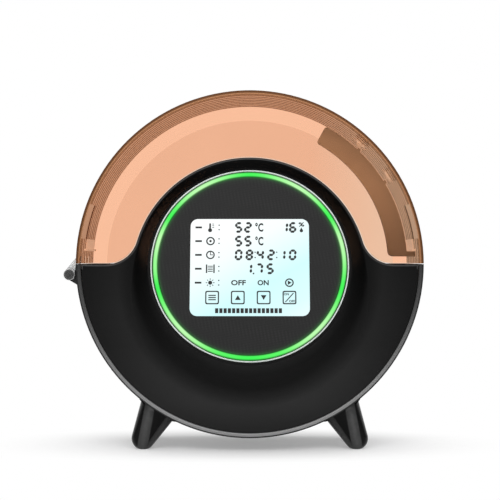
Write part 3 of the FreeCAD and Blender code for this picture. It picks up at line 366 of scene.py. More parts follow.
def tone(red, green, blue):
    return (red, green, blue, 1)


def place_coordinates(made, centre=(0, 0, 0), turn=(0, 0, 0), scale=(1, 1, 1)):
    coordinates = add(made, "ShaderNodeTexCoord")
    mapping = add(made, "ShaderNodeMapping")
    mapping.vector_type = "TEXTURE"
    mapping.inputs["Location"].default_value = centre
    mapping.inputs["Rotation"].default_value = turn
    mapping.inputs["Scale"].default_value = scale
    link(made, coordinates.outputs["Object"], mapping.inputs["Vector"])
    return mapping.outputs["Vector"]


def noise(made, scale, detail, roughness=0.5):
    node = add(made, "ShaderNodeTexNoise")
    node.inputs["Scale"].default_value = scale
    node.inputs["Detail"].default_value = detail
    node.inputs["Roughness"].default_value = roughness
    link(made, place_coordinates(made), node.inputs["Vector"])
    return node.outputs["Fac"]


def gradient(made, vector, kind="LINEAR"):
    node = add(made, "ShaderNodeTexGradient")
    node.gradient_type = kind
    link(made, vector, node.inputs["Vector"])
    return node.outputs["Fac"]


def ramp(made, factor, stops, interpolation="LINEAR"):
    node = add(made, "ShaderNodeValToRGB")
    node.color_ramp.interpolation = interpolation
    first, last = node.color_ramp.elements[0], node.color_ramp.elements[1]
    first.position, first.color = stops[0]
    last.position, last.color = stops[-1]
    for position, colour in stops[1:-1]:
        node.color_ramp.elements.new(position).color = colour
    link(made, factor, node.inputs["Fac"])
    return node.outputs["Color"]


def bump(made, shader, height, strength, distance):
    node = add(made, "ShaderNodeBump")
    node.inputs["Strength"].default_value = strength
    node.inputs["Distance"].default_value = distance
    link(made, height, node.inputs["Height"])
    link(made, node.outputs["Normal"], shader.inputs["Normal"])


# Fine spark-eroded grain
def grained(made, shader, strength, distance=0.00003):
    bump(made, shader, noise(made, GRAIN, 2), strength, distance)


def mingle(made, first, second, kind="MULTIPLY"):
    node = add(made, "ShaderNodeMix")
    node.data_type = "RGBA"
    node.blend_type = kind
    node.inputs["Factor"].default_value = 1.0
    link(made, first, node.inputs[6])
    link(made, second, node.inputs[7])
    return node.outputs[2]


# Works out a number from sockets and plain numbers
def figure(made, operation, *values):
    node = add(made, "ShaderNodeMath")
    node.operation = operation
    for socket, value in zip(node.inputs, values):
        if isinstance(value, float):
            socket.default_value = value
        else:
            link(made, value, socket)
    return node.outputs[0]


def mix_shaders(made, factor, first, second):
    node = add(made, "ShaderNodeMixShader")
    for socket, source in zip(node.inputs, (factor, first.outputs[0], second.outputs[0])):
        link(made, source, socket)
    return node


# Colours along a line, each as (millimetres along it, colour)
def along_line(made, start, turn, colours):
    low, high = colours[0][0], colours[-1][0]
    where = place_coordinates(made, start, turn, ((high - low) * MM, 1, 1))
    stops = [((along - low) / (high - low), colour) for along, colour in colours]
    return ramp(made, gradient(made, where), stops)


# Shares that change with the height over the drum axis, each as (height, level)
def by_height(made, levels):
    colours = [(height, grey(level)) for height, level in levels]
    return along_line(made, spot(0, 0, levels[0][0]), (0, math.radians(-90), 0), colours)


# Colours in rings about an axis, each as (radius, colour) with the outermost first
def in_rings(made, centre, reach, bands, turn=DRUM_TURN):
    where = place_coordinates(made, centre, turn, (reach * MM, reach * MM, FAR))
    stops = [(1 - radius / reach, colour) for radius, colour in bands]
    return ramp(made, gradient(made, where, "SPHERICAL"), stops)


# Moulded plastic: a little colour drift under fine grain
def moulded_plastic(name, dark, light, roughness, strength=0.25, specular=0.5):
    made = new_finish(name)
    shader = surface(made, Roughness=roughness, Specular_IOR_Level=specular)
    drift = ramp(made, noise(made, 35, 3), [(0.3, dark), (0.7, light)])
    link(made, drift, shader.inputs["Base Color"])
    grained(made, shader, strength, 0.00004)
    return made


def metal(name, dark, light, roughness):
    made = new_finish(name)
    shader = surface(made, Metallic=1.0, Roughness=roughness)
    streak = noise(made, 900, 3, 0.6)
    link(made, ramp(made, streak, [(0.3, dark), (0.7, light)]), shader.inputs["Base Color"])
    bump(made, shader, streak, 0.12, 0.00003)
    return made


# Clear plastic: lets lamps through with its own tint, which may be darker low down as painted shade, and
# paler at the right as painted light
def clear_plastic(name, tint, roughness, index, body=1.0, painted_shade_heights=None, right_painted_light_tint=None):
    made = new_finish(name)
    shader = surface(made, Roughness=roughness, Transmission_Weight=body, IOR=index)
    tints = [(PALER_FROM, tint), (PALER_TO, right_painted_light_tint or tint)]
    colour = along_line(made, spot(PALER_FROM, 0, 0), (0, 0, 0), tints)
    drift = ramp(made, noise(made, 18, 2), [(0.35, grey(0.985)), (0.65, grey(1.0))])
    colour = mingle(made, colour, drift)
    if painted_shade_heights:
        colour = mingle(made, colour, by_height(made, painted_shade_heights))
    link(made, colour, shader.inputs["Base Color"])
    clear = add(made, "ShaderNodeBsdfTransparent")
    link(made, colour, clear.inputs["Color"])
    path = add(made, "ShaderNodeLightPath")
    show(made, mix_shaders(made, path.outputs["Is Shadow Ray"], shader, clear))
    return made


# Black front plate with painted shade: deepest round the pod and darker towards its outer edge, and painted
# lighter low on the open face
def front_shell_painted_shade_finish():
    made = new_finish("front_shell_black_painted_shade")
    shader = surface(made, Roughness=0.45)
    levels = [(130, 0.007), (122, 0.01), (110, 0.017), (99, 0.0245), (92, 0.013), (84, 0.004), (74, 0.005)]
    bands = [(radius, grey(level)) for radius, level in levels]
    colour = in_rings(made, spot(0, 0, -ARCH_DROP), 200, bands)
    shade = by_height(made, [(-130, 0.85), (-105, 1.0), (-60, 0.5), (0, 0.28), (40, 0.2), (90, 0.1)])
    link(made, mingle(made, colour, shade), shader.inputs["Base Color"])
    shine = by_height(made, [(-130, 0.1), (0, 0.09), (45, 0.05), (90, 0.02)])
    link(made, shine, shader.inputs["Specular IOR Level"])
    grained(made, shader, 0.12)
    return made


# A painted highlight band on a foot: where it runs, how it leans, its half width, and levels from edge to
# middle
def foot_painted_highlight_band(made, side, place, lean, half_width, levels):
    across, up = place
    turn = (0, math.radians(lean) * -side, 0)
    where = place_coordinates(made, spot(across * side, 0, up), turn, (half_width * MM, FAR, FAR))
    stops = [(share, grey(level)) for share, level in levels]
    return ramp(made, gradient(made, where, "SPHERICAL"), stops, "EASE")


# Gloss black foot with two painted highlight bands on its front, along the middle and along the inner edge
def foot_finish(name, side):
    made = new_finish(name)
    shader = surface(made, Roughness=0.2, Specular_IOR_Level=0.1)
    middle = foot_painted_highlight_band(made, side, (78.4, -123.8), 11.3, 7,
                       [(0.0, 0.001), (0.36, 0.0015), (0.54, 0.045), (1.0, 0.065)])
    inner = foot_painted_highlight_band(made, side, (64.3, -120.3), 34.6, 2.4, [(0.0, 0.001), (0.4, 0.03), (1.0, 0.042)])
    worn = ramp(made, noise(made, 300, 3), [(0.3, grey(0.8)), (0.7, grey(1.0))])
    bands = mingle(made, middle, inner, "LIGHTEN")
    link(made, mingle(made, bands, worn), shader.inputs["Base Color"])
    grained(made, shader, 0.03)
    return made


# Turned front edge of the tub: a pale painted sheen, painted brighter low down, with a black line on each
# side
def tub_edge_painted_sheen_finish():
    made = new_finish("tub_edge_painted_sheen")
    shader = surface(made, Roughness=0.34, Specular_IOR_Level=0.18)
    bands = [(DRUM_RADIUS, grey(0.003)), (128.95, grey(0.004)), (128.65, grey(0.31)), (126.4, grey(0.33)),
             (126.15, grey(0.1)), (126.0, grey(0.02))]
    colour = in_rings(made, HOME, 140, bands)
    shade = by_height(made, [(-130, 1.0), (-95, 0.68), (-65, 0.4), (-35, 0.16), (0, 0.07)])
    link(made, mingle(made, colour, shade), shader.inputs["Base Color"])
    grained(made, shader, 0.1)
    return made


# Turned front edge of the lid: opaque brown with painted shade, darkening to its outer edge, with a paler
# line inside
def lid_edge_painted_shade_finish():
    made = new_finish("lid_edge_brown_painted_shade")
    shader = surface(made, Roughness=0.4, Specular_IOR_Level=0.03)
    pale = tone(0.38, 0.18, 0.09)
    bands = [(DRUM_RADIUS, tone(0.09, 0.034, 0.012)), (129.0, tone(0.1, 0.04, 0.015)),
             (128.3, tone(0.12, 0.05, 0.02)), (127.8, tone(0.2, 0.09, 0.04)), (127.4, pale), (126.9, pale)]
    link(made, in_rings(made, HOME, 140, bands), shader.inputs["Base Color"])
    return made


# Milky hinge lugs with a dark eye about the pin
def lug_finish():
    made = new_finish("lug_milky")
    shader = surface(made, Roughness=0.3, Specular_IOR_Level=0.3, Transmission_Weight=0.35, IOR=1.1)
    bands = [(20.0, tone(0.74, 0.76, 0.76)), (5.6, tone(0.7, 0.72, 0.72)), (5.1, grey(0.3)),
             (4.5, grey(0.75)), (4.0, grey(0.5)), (3.6, grey(0.12)), (2.4, grey(0.09)), (0.0, grey(0.08))]
    link(made, in_rings(made, spot(*HINGE_PLACE), 20, bands), shader.inputs["Base Color"])
    return made


# Green light, paler in places round the ring and fading at both edges
def light_ring_finish():
    made = new_finish("light_ring_glow")
    shader = surface(made, Base_Color=tone(0.01, 0.05, 0.012), Roughness=0.4, Specular_IOR_Level=0.15,
                     Emission_Strength=1.0)
    deep = tone(0.028, 0.88, 0.07)
    pale = tone(0.5, 0.97, 0.42)
    colours = []
    for angle, share in RING_PALENESS:
        mixed = [low + (high - low) * share for low, high in zip(deep, pale)]
        colours.append((angle / 360 + 0.5, mixed))
    around = gradient(made, place_coordinates(made, POD_CENTRE, POD_TURN), "RADIAL")
    glow = ramp(made, around, colours, "EASE")
    edges = [(0, 0.1), (0.4, 0.5), (1.0, 1.0), (2.6, 1.0), (3.1, 0.5), (LIGHT_WIDTH, 0.12)]
    bands = [(LIGHT_RADIUS - inset, grey(level)) for inset, level in edges]
    profile = in_rings(made, POD_CENTRE, 80, bands, POD_TURN)
    link(made, mingle(made, glow, profile), shader.inputs["Emission Color"])
    return made


# Satin panel with the green light soaking into its edge as a painted glow
def fascia_finish():
    made = new_finish("fascia_satin")
    shader = surface(made, Roughness=0.5, Specular_IOR_Level=0.12, Emission_Strength=1.0)
    dots = add(made, "ShaderNodeTexVoronoi")
    dots.inputs["Scale"].default_value = 560
    dots.inputs["Randomness"].default_value = 0.0
    slanted = (POD_TURN[0], 0, math.radians(45))
    link(made, place_coordinates(made, POD_CENTRE, slanted), dots.inputs["Vector"])
    weave = dots.outputs["Distance"]
    link(made, ramp(made, weave, [(0.2, grey(0.0165)), (0.6, grey(0.0115))]), shader.inputs["Base Color"])
    bump(made, shader, weave, 0.12, 0.00005)
    painted_edge_glow = tone(0.008, 0.09, 0.014)
    glow = [(100, painted_edge_glow), (FASCIA_RADIUS, painted_edge_glow), (FASCIA_RADIUS - 0.8, tone(0.003, 0.035, 0.005)),
            (FASCIA_RADIUS - 2, tone(0.0005, 0.006, 0.001)), (FASCIA_RADIUS - 5, grey(0))]
    link(made, in_rings(made, POD_CENTRE, 100, glow, POD_TURN), shader.inputs["Emission Color"])
    return made


# Lit screen, white at the upper left and pale blue towards the lower right
def screen_finish():
    made = new_finish("screen_backlight")
    shader = surface(made, Base_Color=grey(0.02), Roughness=0.25, Specular_IOR_Level=0.2,
                     Emission_Strength=1.0)
    where = place_coordinates(made, on_pod(-20, 40), (0, math.radians(60), 0), (0.1, 0.1, 0.1))
    sky = [(0.0, tone(0.98, 1.0, 1.0)), (0.3, tone(0.9, 0.99, 0.99)), (0.62, tone(0.62, 0.955, 0.98)),
           (0.85, tone(0.7, 0.97, 0.99)), (1.0, tone(0.85, 0.98, 0.99))]
    link(made, ramp(made, gradient(made, where), sky), shader.inputs["Emission Color"])
    return made


# Pieces that keep their CAD shape get one merged skin with smooth curves
def skin(node, finish, slot):
    made = bpy.data.objects.new(f"{node}_skin", nodes[node].data.copy())
    bpy.context.collection.objects.link(made)
    edit(made)
    bpy.ops.mesh.customdata_custom_splitnormals_clear()
    bpy.ops.mesh.remove_doubles(threshold=0.000002)
    leave_edit()
    smooth_curves(made, 30)
    paint(made, finish)
    return belongs(made, body_of_node[node], slot, node)


# A new ring of corners, open or filled
def corner_ring(count, fill):
    bpy.ops.object.select_all(action="DESELECT")
    bpy.ops.mesh.primitive_circle_add(vertices=count, radius=0.01, fill_type=fill)
    return bpy.context.active_object


# A flat face through a closed line of places
def flat_face(places):
    made = corner_ring(len(places), "NGON")
    for vertex, place in zip(made.data.vertices, places):
        vertex.co = place
    return made


# Gives the mesh being edited a thickness
def thicken(offset):
    bpy.ops.mesh.extrude_region_move(TRANSFORM_OT_translate={"value": offset})
    bpy.ops.mesh.select_all(action="SELECT")
    bpy.ops.mesh.normals_make_consistent(inside=False)
    leave_edit()


def join(pieces, name):
    take(pieces[0])
    for piece in pieces:
        piece.select_set(True)
    bpy.ops.object.join()
    made = bpy.context.active_object
    rename(made, name)
    return made


# A skin drawn over rings of places, each ring extruded from the one before
def loft(name, rings, joined=False):
    count = len(rings[0])
    made = corner_ring(count, "NOTHING")
    rename(made, name)
    edit(made)
    for _ in rings[1:]:
        bpy.ops.mesh.extrude_edges_move()
    leave_edit()
    order = ring_order(made.data, count, len(rings))
    for indices, ring in zip(order, rings):
        for index, place in zip(indices, ring):
            made.data.vertices[index].co = place
    edit(made, "DESELECT" if joined else "SELECT")
    if joined:
        leave_edit()
        ends = set(order[0]) | set(order[-1])
        for edge in made.data.edges:
            edge.select = all(vertex in ends for vertex in edge.vertices)
        edit(made, None)
        bpy.ops.mesh.select_mode(type="EDGE")
        bpy.ops.mesh.bridge_edge_loops()
        bpy.ops.mesh.select_all(action="SELECT")
    bpy.ops.mesh.normals_make_consistent(inside=False)
    leave_edit()
    return made


# Which vertices lie on each extruded ring, in step with the first
def ring_order(mesh, count, rows):
    beside = {}
    for edge in mesh.edges:
        a, b = edge.vertices
        beside.setdefault(a, []).append(b)
        beside.setdefault(b, []).append(a)
    order = [list(range(count))]
    used = set(order[0])
    for _ in range(rows - 1):
        onward = [[n for n in beside[k] if n not in used][0] for k in order[-1]]
        used.update(onward)
        order.append(onward)
    return order


# A place on the curve that leaves the first place towards the second and comes to the third
def curve(first, second, third, share):
    return first.lerp(second, share).lerp(second.lerp(third, share), share)


# Rounds the corners of a closed outline of (radius, height) places
def rounded(corners, radius, steps=4):
    made = []
    count = len(corners)
    for k in range(count):
        here = Vector(corners[k])
        before = Vector(corners[k - 1]) - here
        after = Vector(corners[(k + 1) % count]) - here
        reach = min(radius, before.length / 2.2, after.length / 2.2)
        start = here + before.normalized() * reach
        end = here + after.normalized() * reach
        made += [curve(start, here, end, step / steps) for step in range(steps + 1)]
    return made


# A turned piece: its outline goes round the axis of the places that place() gives
def turned(name, outline, place, steps):
    turns = [k * math.tau / steps for k in range(steps)]
    rings = []
    for radius, height in outline:
        rings.append([place(radius * math.cos(turn), radius * math.sin(turn), height) for turn in turns])
    return loft(name, rings, True)


def on_arc(radius, angle):
    return radius * math.cos(math.radians(angle)), radius * math.sin(math.radians(angle))


# The edge of the front plate: arch over the screen, two flares, two flats and the round below
def plate_edge(inset):
    arch = ARCH_RADIUS - inset
    flare = FLARE_RADIUS + inset
    bowl = PLATE_RADIUS - inset
    spread = math.sqrt((ARCH_RADIUS + FLARE_RADIUS) ** 2 - (FLARE_RADIUS + ARCH_DROP) ** 2)
    lean = math.asin((FLARE_RADIUS + ARCH_DROP) / (ARCH_RADIUS + FLARE_RADIUS))
    dip = math.asin(inset / bowl)
    end = bowl * math.cos(dip)
    flare_turn = math.pi / 2 - lean
    places = []
    for k in range(ARCH_PARTS + 1):
        angle = lean + (math.pi - 2 * lean) * k / ARCH_PARTS
        places.append((arch * math.cos(angle), arch * math.sin(angle) - ARCH_DROP))
    for k in range(1, FLARE_PARTS + 1):
        angle = -lean - flare_turn * k / FLARE_PARTS
        places.append((-spread + flare * math.cos(angle), FLARE_RADIUS + flare * math.sin(angle)))
    for k in range(1, FLAT_PARTS + 1):
        places.append((-spread + (spread - end) * k / FLAT_PARTS, -inset))
    for k in range(1, BOWL_PARTS):
        angle = -math.pi + dip + (math.pi - 2 * dip) * k / BOWL_PARTS
        places.append((bowl * math.cos(angle), bowl * math.sin(angle)))
    for k in range(FLAT_PARTS):
        places.append((end + (spread - end) * k / FLAT_PARTS, -inset))
    for k in range(FLARE_PARTS):
        angle = -math.pi / 2 - flare_turn * k / FLARE_PARTS
        places.append((spread + flare * math.cos(angle), FLARE_RADIUS + flare * math.sin(angle)))
    return [Vector(place) for place in places]


# Directions from the pod's middle to the plate edge, evened out
def pod_angles(edge):
    angles = []
    for x, z in edge:
        angle = math.atan2(z + ARCH_DROP, x)
        while angles and angle < angles[-1] - math.pi:
            angle += math.tau
        angles.append(angle)
    for _ in range(EVEN_PASSES):
        wide = [angles[-1] - math.tau] + angles + [angles[0] + math.tau]
        angles = [(wide[k] + 2 * wide[k + 1] + wide[k + 2]) / 4 for k in range(AROUND)]
    return angles


def smooth_step(value):
    value = min(1.0, max(0.0, value))
    return value * value * (3 - 2 * value)


# A screw boss on the back of the front plate
def screw_boss(angle):
    x, z = on_arc(BOSS_RING, angle)
    corners = ring_corners(BOSS_RADIUS, BOSS_RADIUS - BOSS_BORE, BOSS_START, BOSS_END)
    outline = rounded(corners, BOSS_ROUND)
    return turned("screw_boss", outline, lambda a, b, deep: spot(x + a, deep, z + b), BOSS_STEPS)


# The arch's rounded edge, which takes the painted highlight
def on_arch_bevel(at):
    return at.z > -3 and 0.01 < at.deep < ARCH_ROUND + 0.1 and at.normal.y < -0.05


def front_cover(finish, bevel_highlight_finish):
    edge = plate_edge(0.0)
    edge_in = plate_edge(EDGE_INSET)
    waves = [(math.cos(angle), math.sin(angle)) for angle in pod_angles(edge)]

    def hoop(radius, out):
        return [on_pod(radius * c, radius * s, out) for c, s in waves]

    def base_hoop(radius, deep):
        return [spot(radius * c, deep, radius * s - ARCH_DROP) for c, s in waves]

    rings = [hoop(LEDGE_OPENING, -SEAT_DEPTH), hoop(SEAT_RADIUS, -SEAT_DEPTH), hoop(SEAT_RADIUS, -SEAT_ROUND),
             hoop(SEAT_RADIUS + SEAT_ROUND, 0), hoop(POD_LIP_RADIUS - LIP_ROUND, 0),
             hoop(POD_LIP_RADIUS - LIP_INSET, -LIP_INSET)]
    lip = hoop(POD_LIP_RADIUS, -LIP_ROUND)
    rings.append(lip)
    base = base_hoop(POD_BASE_RADIUS, 0)
    runs = []
    for c, s in waves:
        run = POD_BASE_RADIUS + RUN_LEAST + RUN_MORE * smooth_step((RUN_FROM - math.asin(s)) / RUN_OVER)
        runs.append(spot(run * c, 0, run * s - ARCH_DROP))
    for step in range(1, POD_STEPS + 1):
        rings.append([curve(top.lerp(corner, POD_STRAIGHT), corner, foot, step / POD_STEPS)
                      for top, corner, foot in zip(lip, base, runs)])
    broad = [BOWL_ROUND if BOWL_FIRST <= k <= BOWL_LAST else ARCH_ROUND for k in range(AROUND)]
    for _ in range(BLEND_PASSES):
        broad = [(broad[k - 1] + broad[k] + broad[(k + 1) % AROUND]) / 3 for k in range(AROUND)]
    for step in range(ROUND_STEPS + 1):
        turn = step / ROUND_STEPS * math.pi / 2
        ring = []
        for k in range(AROUND):
            inset = broad[k] * (1 - math.sin(turn))
            x, z = edge[k].lerp(edge_in[k], inset / EDGE_INSET)
            ring.append(spot(x, broad[k] * (1 - math.cos(turn)), z))
        rings.append(ring)
    rings.append([spot(x, PLATE_THICK, z) for x, z in edge])
    rings.append(base_hoop(POD_BASE_RADIUS - POD_BASE_WALL, PLATE_THICK))
    rings.append(hoop(POD_LIP_RADIUS - POD_LIP_WALL, -SEAT_DEPTH - LEDGE_THICK))
    rings.append(hoop(LEDGE_OPENING, -SEAT_DEPTH - LEDGE_THICK))
    shell = loft("front_cover_shell", rings, True)
    made = join([shell] + [screw_boss(angle) for angle in BOSS_ANGLES], "front_cover_shell")
    smooth_curves(made, 32)
    paint(made, finish, bevel_highlight_finish)
    repaint(made, 1, on_arch_bevel)
    return belongs(made, "base", "black_shell", "front_cover")


def ring_corners(outer, width, low, high):
    return [(outer - width, low), (outer, low), (outer, high), (outer - width, high)]


def pod_ring(name, node, corners, soft, finish, slot):
    made = turned(name, rounded(corners, soft), on_pod, RING_STEPS)
    smooth(made, 40)
    paint(made, finish)
    return belongs(made, "base", slot, node)


# Flat marks of the screen as closed outlines
def round_points(right, up, radius, count=28, start=0.0, sweep=360.0):
    steps = count if sweep >= 360 else count - 1
    turns = [math.radians(start + sweep * k / steps) for k in range(count)]
    return [(right + radius * math.cos(turn), up + radius * math.sin(turn)) for turn in turns]


def block(left, low, right, high):
    return [(left, low), (right, low), (right, high), (left, high)]


def block_about(right, up, half_width, half_height):
    return block(right - half_width, up - half_height, right + half_width, up + half_height)


def segment_bar(right, up, length, upright):
    half = DIGIT_STROKE / 2
    reach = length / 2
    bar = [(-reach, 0), (-reach + half, -half), (reach - half, -half), (reach, 0), (reach - half, half),
           (-reach + half, half)]
    if upright:
        bar = [(-along_up, along) for along, along_up in bar]
    return [(right + a, up + b) for a, b in bar]


# Which bars a seven-bar digit lights: top, two right, bottom, two left, middle
LIT_BARS = {"0": "abcdef", "1": "bc", "2": "abged", "4": "fgbc", "5": "afgcd", "6": "afgedc", "7": "abc",
            "8": "abcdefg"}


def digit(number, left, up):
    half = DIGIT_STROKE / 2
    edge = DIGIT_WIDTH / 2 - half
    level = DIGIT_HEIGHT / 2 - half
    across = DIGIT_WIDTH - DIGIT_STROKE - DIGIT_GAP
    rise = level - DIGIT_GAP
    bars = {"a": (0, level, False), "b": (edge, level / 2, True), "c": (edge, -level / 2, True),
            "d": (0, -level, False), "e": (-edge, -level / 2, True), "f": (-edge, level / 2, True),
            "g": (0, 0, False)}
    middle = left + DIGIT_WIDTH / 2
    shapes = []
    for name in LIT_BARS[number]:
        right, high, upright = bars[name]
        bar = segment_bar(right, high, rise if upright else across, upright)
        shapes.append([(middle + a + DIGIT_LEAN * b, up + b) for a, b in bar])
    return shapes


def colon(right, up, gap):
    return [block_about(right, up + side * gap, DOT_HALF, DOT_HALF) for side in (-1, 1)]


def thermometer(right, up):
    bulb = round_points(right, up - 2.1, 1.5, 20, 115, 310)
    stem = round_points(right, up + 2.6, 0.63, 8, 0, 180)
    ticks = [block(right + 1.6, up + k, right + 3.0, up + k + 0.5) for k in (-0.3, 1.0, 2.3)]
    return [bulb + stem] + ticks


def clock_hands(right, up):
    return [(right - 0.25, up - 0.25), (right + 2.0, up - 0.25), (right + 2.0, up + 0.3),
            (right + 0.3, up + 0.3), (right + 0.3, up + 2.2), (right - 0.25, up + 2.2)]


def spool_icon(right, up):
    flanges = [block_about(right + side * 2.7, up, 0.5, 3.2) for side in (-1, 1)]
    turns = [block_about(right, up + k, 1.8, 0.3) for k in (-2.0, -0.7, 0.6, 1.9)]
    return flanges + turns


def lamp_icon(right, up):
    shapes = [round_points(right, up, 1.5, 20)]
    middle = Vector((right, up))
    for k in range(8):
        along = Vector(on_arc(1.0, 45 * k))
        aside = Vector((-along.y, along.x)) * 0.28
        shapes.append([tuple(middle + along * reach + aside * side)
                       for reach, side in ((2.1, -1), (3.2, -1), (3.2, 1), (2.1, 1))])
    return shapes


def droplet(right, up):
    return [round_points(right, up - 0.5, 1.25, 18, 130, 280) + [(right, up + 2.1)]]


def triangle(right, up, way):
    high = TRIANGLE_SIZE * 0.85 * way
    return [(right - TRIANGLE_SIZE, up - high), (right + TRIANGLE_SIZE, up - high), (right, up + high)]


def triangle_right(right, up):
    return [(right - 1.1, up - 1.6), (right + 1.7, up), (right - 1.1, up + 1.6)]


def slash(right, up):
    ends = [(side * far, side * high) for side in (-1, 1) for far, high in ((3.3, 3.2), (2.6, 3.5))]
    return [(right + across, up + rise) for across, rise in ends]


# Outlines with a hole: outer line and inner line
def hoop_mark(right, up, inner):
    return round_points(right, up, HOOP_RADIUS), round_points(right, up, inner)


def key_frame(right, up):
    half = KEY_SIZE / 2
    lines = [(half, 1.5), (half - KEY_LINE, 1.0)]
    return [rounded(block_about(right, up, size, size), corner) for size, corner in lines]


def row(number):
    return ROW_TOP - ROW_STEP * number


def number_row(words, left, up, step=DIGIT_STEP):
    shapes = []
    for k, sign in enumerate(words):
        shapes += digit(sign, left + step * k, up)
    return shapes


def screen_shapes():
    shapes = []
    for k in range(5):
        shapes.append(block(DASHES[0], row(k) - DASH_HALF, DASHES[1], row(k) + DASH_HALF))
        shapes += colon(COLONS, row(k), COLON_GAP)
    shapes += thermometer(ICONS - 0.4, row(0))
    shapes.append(round_points(ICONS, row(1), 0.9, 16))
    shapes.append(clock_hands(ICONS, row(2)))
    shapes += spool_icon(ICONS, row(3))
    shapes += lamp_icon(ICONS, row(4))
    shapes += number_row("52", VALUES, row(0), HEAT_STEP) + number_row("55", VALUES, row(1), HEAT_STEP)
    shapes += number_row("16", DAMP_LEFT, row(0), DAMP_STEP)
    shapes += number_row("084210", VALUES, row(2))
    for right in TIME_COLONS:
        shapes += colon(right, row(2), TIME_GAP)
    shapes += number_row("175", SIZE_LEFT, row(3))
    shapes.append(block(2.2, row(3) - 4.1, 3.3, row(3) - 3.0))
    shapes += droplet(37.7, row(0) - 2.0)
    shapes.append(triangle_right(KEYS[3], row(4)))
    for up in (1.6, 0.0, -1.6):
        shapes.append(block_about(KEYS[0], KEY_ROW + up, MENU_HALF, 0.4))
    shapes.append(triangle(KEYS[1], KEY_ROW, 1))
    shapes.append(triangle(KEYS[2], KEY_ROW, -1))
    shapes.append(slash(KEYS[3], KEY_ROW))
    for k in range(BAR_COUNT):
        left = BAR_LEFT + BAR_STEP * k
        shapes.append(block(left, BAR_LOW, left + BAR_WIDTH, BAR_HIGH))
    return shapes


def screen_hoops():
    hoops = [hoop_mark(ICONS, row(1), 2.2), hoop_mark(ICONS, row(2), 2.25), hoop_mark(KEYS[3], row(4), 2.25)]
    return hoops + [key_frame(right, KEY_ROW) for right in KEYS]


# Words and unit signs with their boxes: left, low, right, high
def screen_words():
    words = [("OFF", -13.5, row(4) - 2.0, -2.8, row(4) + 2.0), ("ON", 5.6, row(4) - 2.0, 13.7, row(4) + 2.0)]
    words += [(DEGREE_SIGN + "C", 4.0, row(k) - 3.3, 9.9, row(k) + 3.6) for k in (0, 1)]
    words.append(("%", 35.7, row(0) + 0.6, 39.9, row(0) + 3.9))
    words.append(("ON", 24.6, KEY_ROW + 1.6, 28.2, KEY_ROW + 3.4))
    words.append(("OFF", 28.3, KEY_ROW - 3.6, 32.6, KEY_ROW - 1.8))
    return words


def on_screen(points):
    return [on_pod(right, up, SCREEN_OUT) for right, up in points]


def lettering(words, left, low, right, high):
    bpy.ops.object.select_all(action="DESELECT")
    bpy.ops.object.text_add()
    made = bpy.context.active_object
    made.data.body = words
    made.data.resolution_u = 3
    made.data.offset = 0.03
    bpy.ops.object.convert(target="MESH")
    made = bpy.context.active_object
    places = [vertex.co.copy() for vertex in made.data.vertices]
    first = Vector((min(place.x for place in places), min(place.y for place in places)))
    last = Vector((max(place.x for place in places), max(place.y for place in places)))
    for vertex, place in zip(made.data.vertices, places):
        across = left + (right - left) * (place.x - first.x) / (last.x - first.x)
        rise = low + (high - low) * (place.y - first.y) / (last.y - first.y)
        vertex.co = on_pod(across, rise, SCREEN_OUT)
    return made


def screen_marks(finish):
    pieces = [flat_face(on_screen(points)) for points in screen_shapes()]
    pieces += [loft("hoop_mark", [on_screen(line) for line in lines]) for lines in screen_hoops()]
    pieces += [lettering(*line) for line in screen_words()]
    made = join(pieces, "screen_marks")
    edit(made)
    bpy.ops.mesh.remove_doubles(threshold=0.000001)
    bpy.ops.mesh.normals_make_consistent(inside=False)
    thicken(on_pod(0, 0, INK_RISE) - on_pod(0, 0))
    paint(made, finish)
    return belongs(made, "base", "part_black")


# Brown guide plate: an arc with round corners, a step at each outlet, and its foot
def guide_outline():
    foot_low, foot_high = GUIDE_FOOT
    edge = [(FOOT_END, foot_low), (FOOT_END, foot_high)]
    stations = [math.degrees(math.asin(foot_high / GUIDE_OUTER))]
    for angle in reversed(OUTLET_ANGLES):
        stations += [angle - before for before in STEP_BEFORE]
    stations.append(GUIDE_TOP)
    for k, (low, high) in enumerate(zip(stations[:-1], stations[1:])):
        radius = GUIDE_OUTER + STEP_RISE * (k % 2)
        edge += [on_arc(radius, low + (high - low) * s / ARC_STEPS) for s in range(ARC_STEPS + 1)]
    quarter = [(math.sin(turn), math.cos(turn)) for turn in (math.radians(15 * s) for s in range(7))]
    for a, b in reversed(quarter[:-1]):
        edge.append(on_arc(GUIDE_OUTER - GUIDE_CORNER + GUIDE_CORNER * a, GUIDE_TOP + GUIDE_CORNER_TURN * b))
    for a, b in quarter:
        edge.append(on_arc(GUIDE_INNER + GUIDE_CORNER - GUIDE_CORNER * a, GUIDE_TOP + GUIDE_CORNER_TURN * b))
    curve_across, curve_up = FOOT_CURVE
    fall = math.degrees(math.asin((foot_low + curve_up) / GUIDE_INNER)) - GUIDE_TOP
    edge += [on_arc(GUIDE_INNER, GUIDE_TOP + fall * s / INNER_STEPS) for s in range(1, INNER_STEPS + 1)]
    corner = Vector((math.sqrt(GUIDE_INNER ** 2 - foot_low ** 2), foot_low))
    start = Vector(edge[-1])
    end = corner + Vector((curve_across, 0))
    return edge + [tuple(curve(start, corner, end, s / CURVE_STEPS)) for s in range(1, CURVE_STEPS + 1)]


def guide_plate(finish, edge_highlight_finish):
    made = flat_face([spot(x, GUIDE_FRONT, z) for x, z in guide_outline()])
    rename(made, "guide_plate_arc")
    edit(made)
    thicken((0, GUIDE_THICK * MM, 0))
    settle(made, "BEVEL", width=GUIDE_BEVEL * MM, segments=2, limit_method="ANGLE",
           angle_limit=math.radians(60))
    smooth_curves(made, 35)
    paint(made, finish, edge_highlight_finish)
    # Its outer edge takes the painted highlight
    repaint(made, 1, lambda at: at.radius > GUIDE_OUTER - 1 and abs(at.normal.y) < 0.95)
    return belongs(made, "lid", "brown_clear", "guide_plate")


